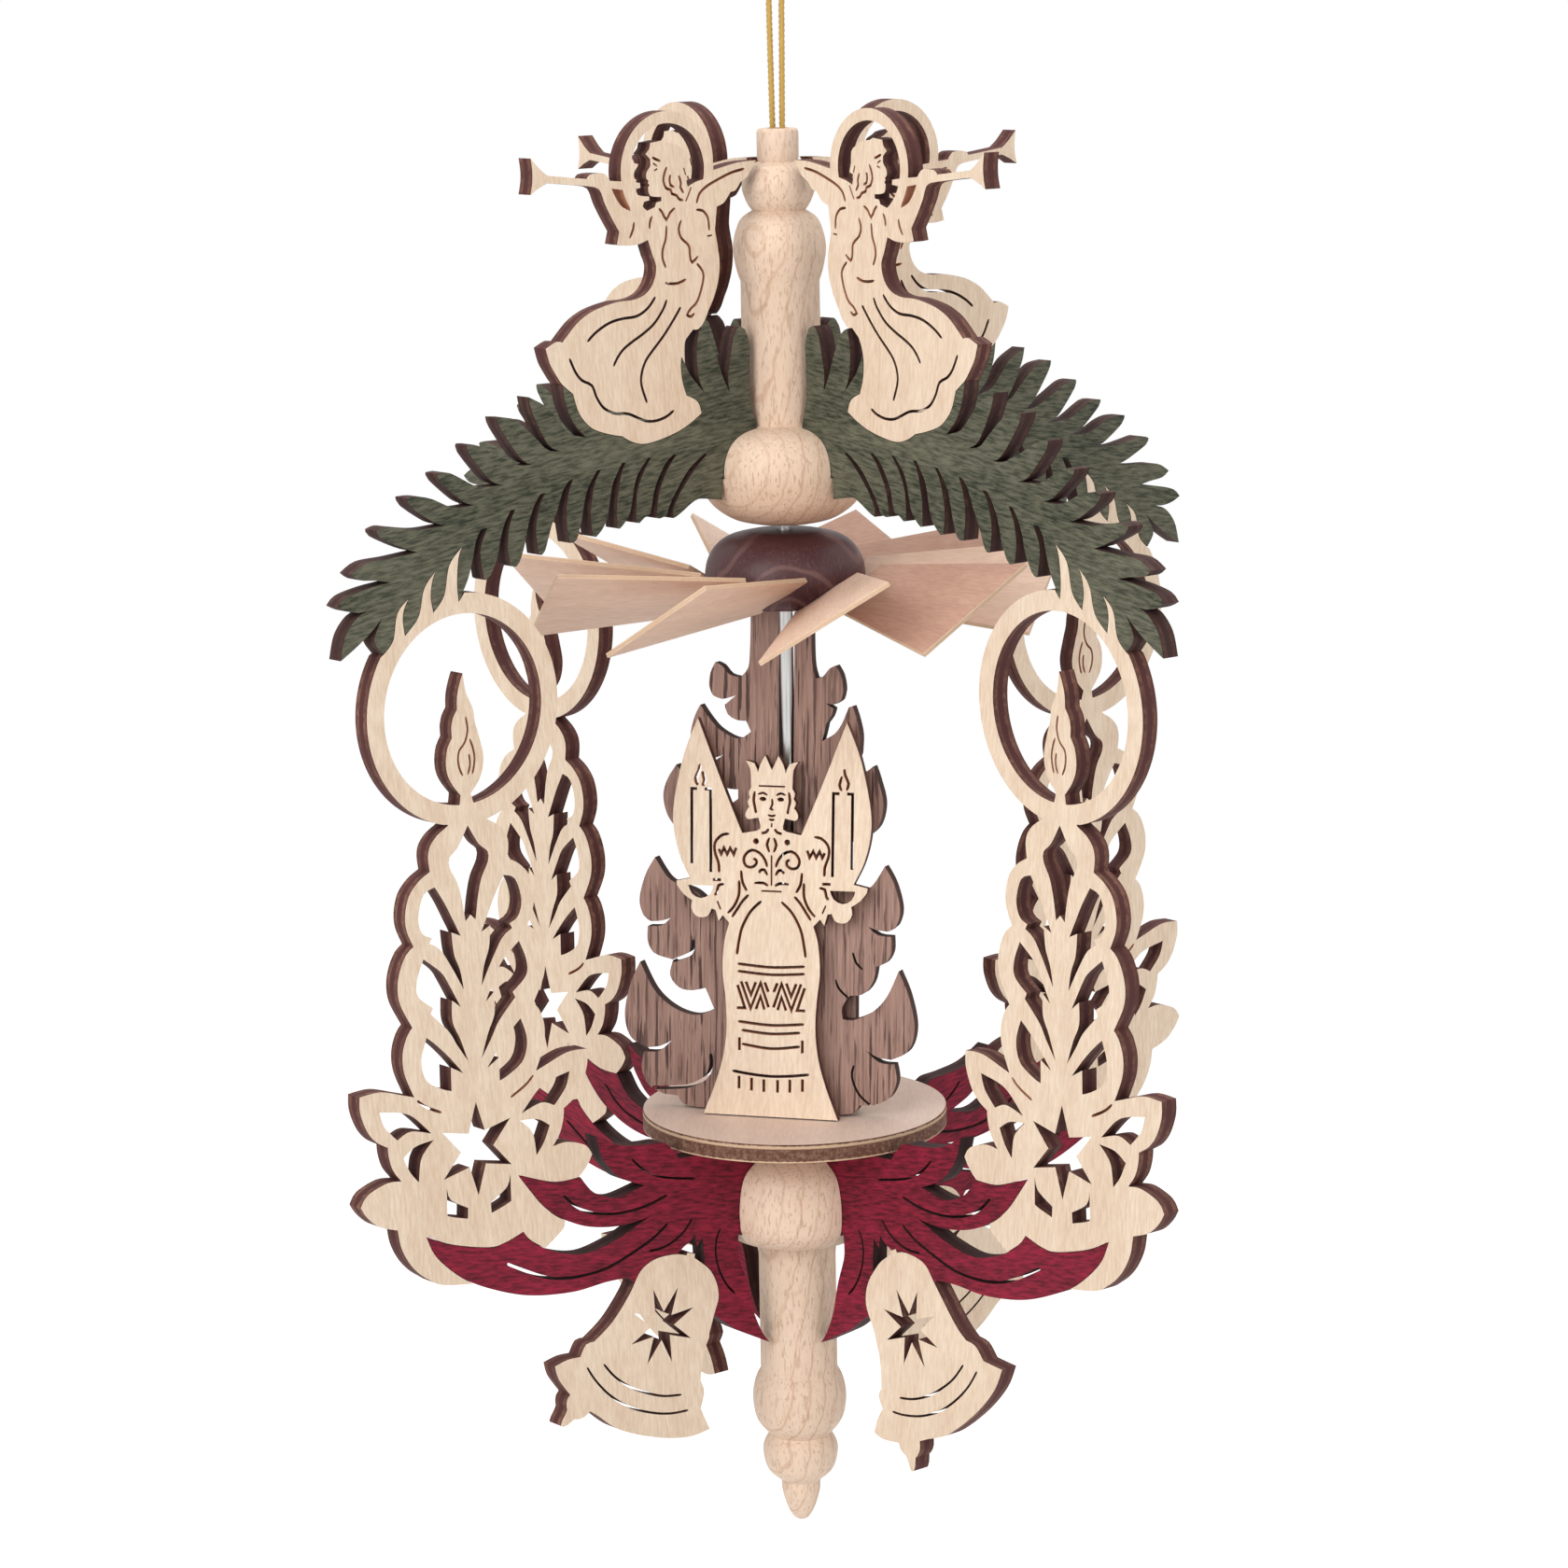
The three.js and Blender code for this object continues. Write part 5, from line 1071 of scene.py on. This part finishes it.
figure["middle"] = [
    [(-2.2, 53.5), (2.2, 53.5)], [(0, 47.6), (0, 46.9)], [(0, 42.4), (0, 37.5)], [(-1.7, 36.6), (1.7, 36.6)],
    [(-5.6, 24.65), (0, 24.3), (5.6, 24.65)], [(-5.6, 23.45), (0, 23.1), (5.6, 23.45)],
    [(-5.5, 15.3), (0, 14.9), (5.5, 15.3)], [(-4.9, 13.9), (0, 13.5), (4.9, 13.9)],
    [(-4.85, 11.65), (0, 11.1), (4.85, 11.65)],
    [(-6.4, 7.2), (-3.3, 6.8), (0, 6.6), (3.3, 6.8), (6.4, 7.2)],
]


def figureLoops():
    width, fine = figure["line"], figure["faceLine"]
    left = [mirroredRun(run) for run in backwardsRuns(figure["half"], figure["crown"])]
    loops = [closedLoop(figure["crown"], *figure["half"], mirroredRun(figure["half"][-1][-1:]), *left)]
    for sign in (-1, 1):
        rim = [(u + sign * figure["dish"][0], h + figure["dish"][1]) for u, h in figure["dishHole"]]
        loops.append(closedLoop(rim[0], rim[1:], [rim[0]]))
        loops += [dotLoop((sign * u, h), across, high) for u, h, across, high in figure["dots"]]
    for lines, thin, smooth in ((figure["face"], fine, True), (figure["curves"], width, True),
                                (figure["corners"], width, False)):
        for line in lines:
            loops += [sawLine(line, thin, smooth), sawLine(mirroredRun(line), thin, smooth)]
    for line in figure["flames"]:  # the left flame is sawn a little wider
        loops += [sawLine(line, width), sawLine(mirroredRun(line), figure["wideLine"])]
    loops += [sawLine(line, fine) for line in figure["features"]]
    return loops + [sawLine(line, width) for line in figure["middle"]]


# a leaning plate rests on its back edge, so a plate nearer the rim stands lower in the leaning frame
def restingHeight(piece):
    return stand["clear"] - (piece["front"] - piece["thickness"]) * math.sin(math.radians(stand["lean"]))


def addStanding():
    foot = (drop @ Matrix.Rotation(math.radians(rotor["angle"]), 4, "Z")
            @ Matrix.Translation((0, 0, rotor["discTop"] * mm)) @ Matrix.Rotation(math.radians(-stand["lean"]), 4, "X"))
    kerfs = [plateMesh([sawLine(line, tree["kerfWidth"][line[0][0] > 0])], tree["thickness"] + cutOver)
             for line in tree["kerfs"]]
    treeBlank = cutMesh(plateMesh([treeLoop()], tree["thickness"]), *kerfs)
    for piece, blank, node, slot, face, rim in (
            (tree, treeBlank, "tree", "walnut", walnutFace, walnutRim),
            (figure, plateMesh(figureLoops(), figure["thickness"]), "light_bearer", "birch_ply", birchFace, birchRim)):
        mesh = dressPlate(blank, piece["thickness"], face, rim)
        spot = Vector((piece["centre"], piece["thickness"] / 2 - piece["front"], restingHeight(piece)))
        addPiece(f"{node}Plate", mesh, "rotor", slot, foot @ Matrix.Translation(spot * mm), node)
    half, depth, gap = batten["width"] / 2, batten["depth"], batten["gap"]
    mesh = boxMesh((batten["side"] - half, -depth / 2, gap), (batten["side"] + half, depth / 2, batten["height"] + gap))
    mesh = dressPlate(bevelMesh(mesh, batten["bevel"]), depth, walnutFace, walnutRim)
    back = tree["thickness"] - tree["front"] + gap + depth / 2
    addPiece("treeBatten", mesh, "rotor", "walnut", foot @ Matrix.Translation((0, back * mm, 0)), "tree_batten")
    print("tree and light bearer standing")


addStanding()

# plain pale floor well under the hanging object, and a soft studio; each lamp has its energy, size and place
studio = {"floor": -0.62, "floorSize": 3, "grey": 0.86, "dull": 0.9, "world": 0.45, "lift": 0.6, "aim": (0, 0, -0.14),
          "lamps": {"keyLamp": (6.4, 0.7, (-0.45, -0.8, 0.25)), "fillLamp": (3.0, 0.8, (0.7, -0.65, 0.15)),
                    "backLamp": (6.0, 0.8, (0.05, 0.22, 0.85))}}


# one for rays that come straight from the camera, a mirror or glass, else zero
def seenRays(tree):
    rays = addNode(tree, "LightPath").outputs
    bent = mathNode(tree, "MAXIMUM", rays["Is Glossy Ray"], rays["Is Transmission Ray"])
    return mathNode(tree, "MAXIMUM", rays["Is Camera Ray"], bent)


def addStudio():
    for name, (energy, size, spot) in studio["lamps"].items():
        lamp = addObject(name, bpy.data.lights.new(name, "AREA"))
        lamp.data.energy = energy
        lamp.data.size = size
        lamp.location = spot
        lamp.rotation_euler = (Vector(studio["aim"]) - Vector(spot)).to_track_quat("-Z", "Y").to_euler()
    world = bpy.data.worlds.new("studio")
    bpy.context.scene.world = world
    world.use_nodes = True
    sky = world.node_tree.nodes["Background"]
    sky.inputs["Color"].default_value = (1, 1, 1, 1)
    level = scaled(world.node_tree, seenRays(world.node_tree), 1 - studio["world"])
    setSocket(world.node_tree, sky.inputs["Strength"], mathNode(world.node_tree, "ADD", level, studio["world"]))
    ground = bmesh.new()
    bmesh.ops.create_grid(ground, x_segments=8, y_segments=8, size=studio["floorSize"])
    bmesh.ops.translate(ground, verts=ground.verts[:], vec=(0, 0, studio["floor"]))
    floor = addObject("floor", toMesh(ground))
    material, surface, shader = newMaterial("paleFloor", studio["dull"])
    shader.inputs["Base Color"].default_value = (*[studio["grey"]] * 3, 1)
    shader.inputs["Emission Color"].default_value = (1, 1, 1, 1)
    setSocket(surface, shader.inputs["Emission Strength"], scaled(surface, seenRays(surface), studio["lift"]))
    floor.data.materials.append(material)


addStudio()
bpy.context.scene.view_settings.view_transform = "Standard"
print("studio lit")
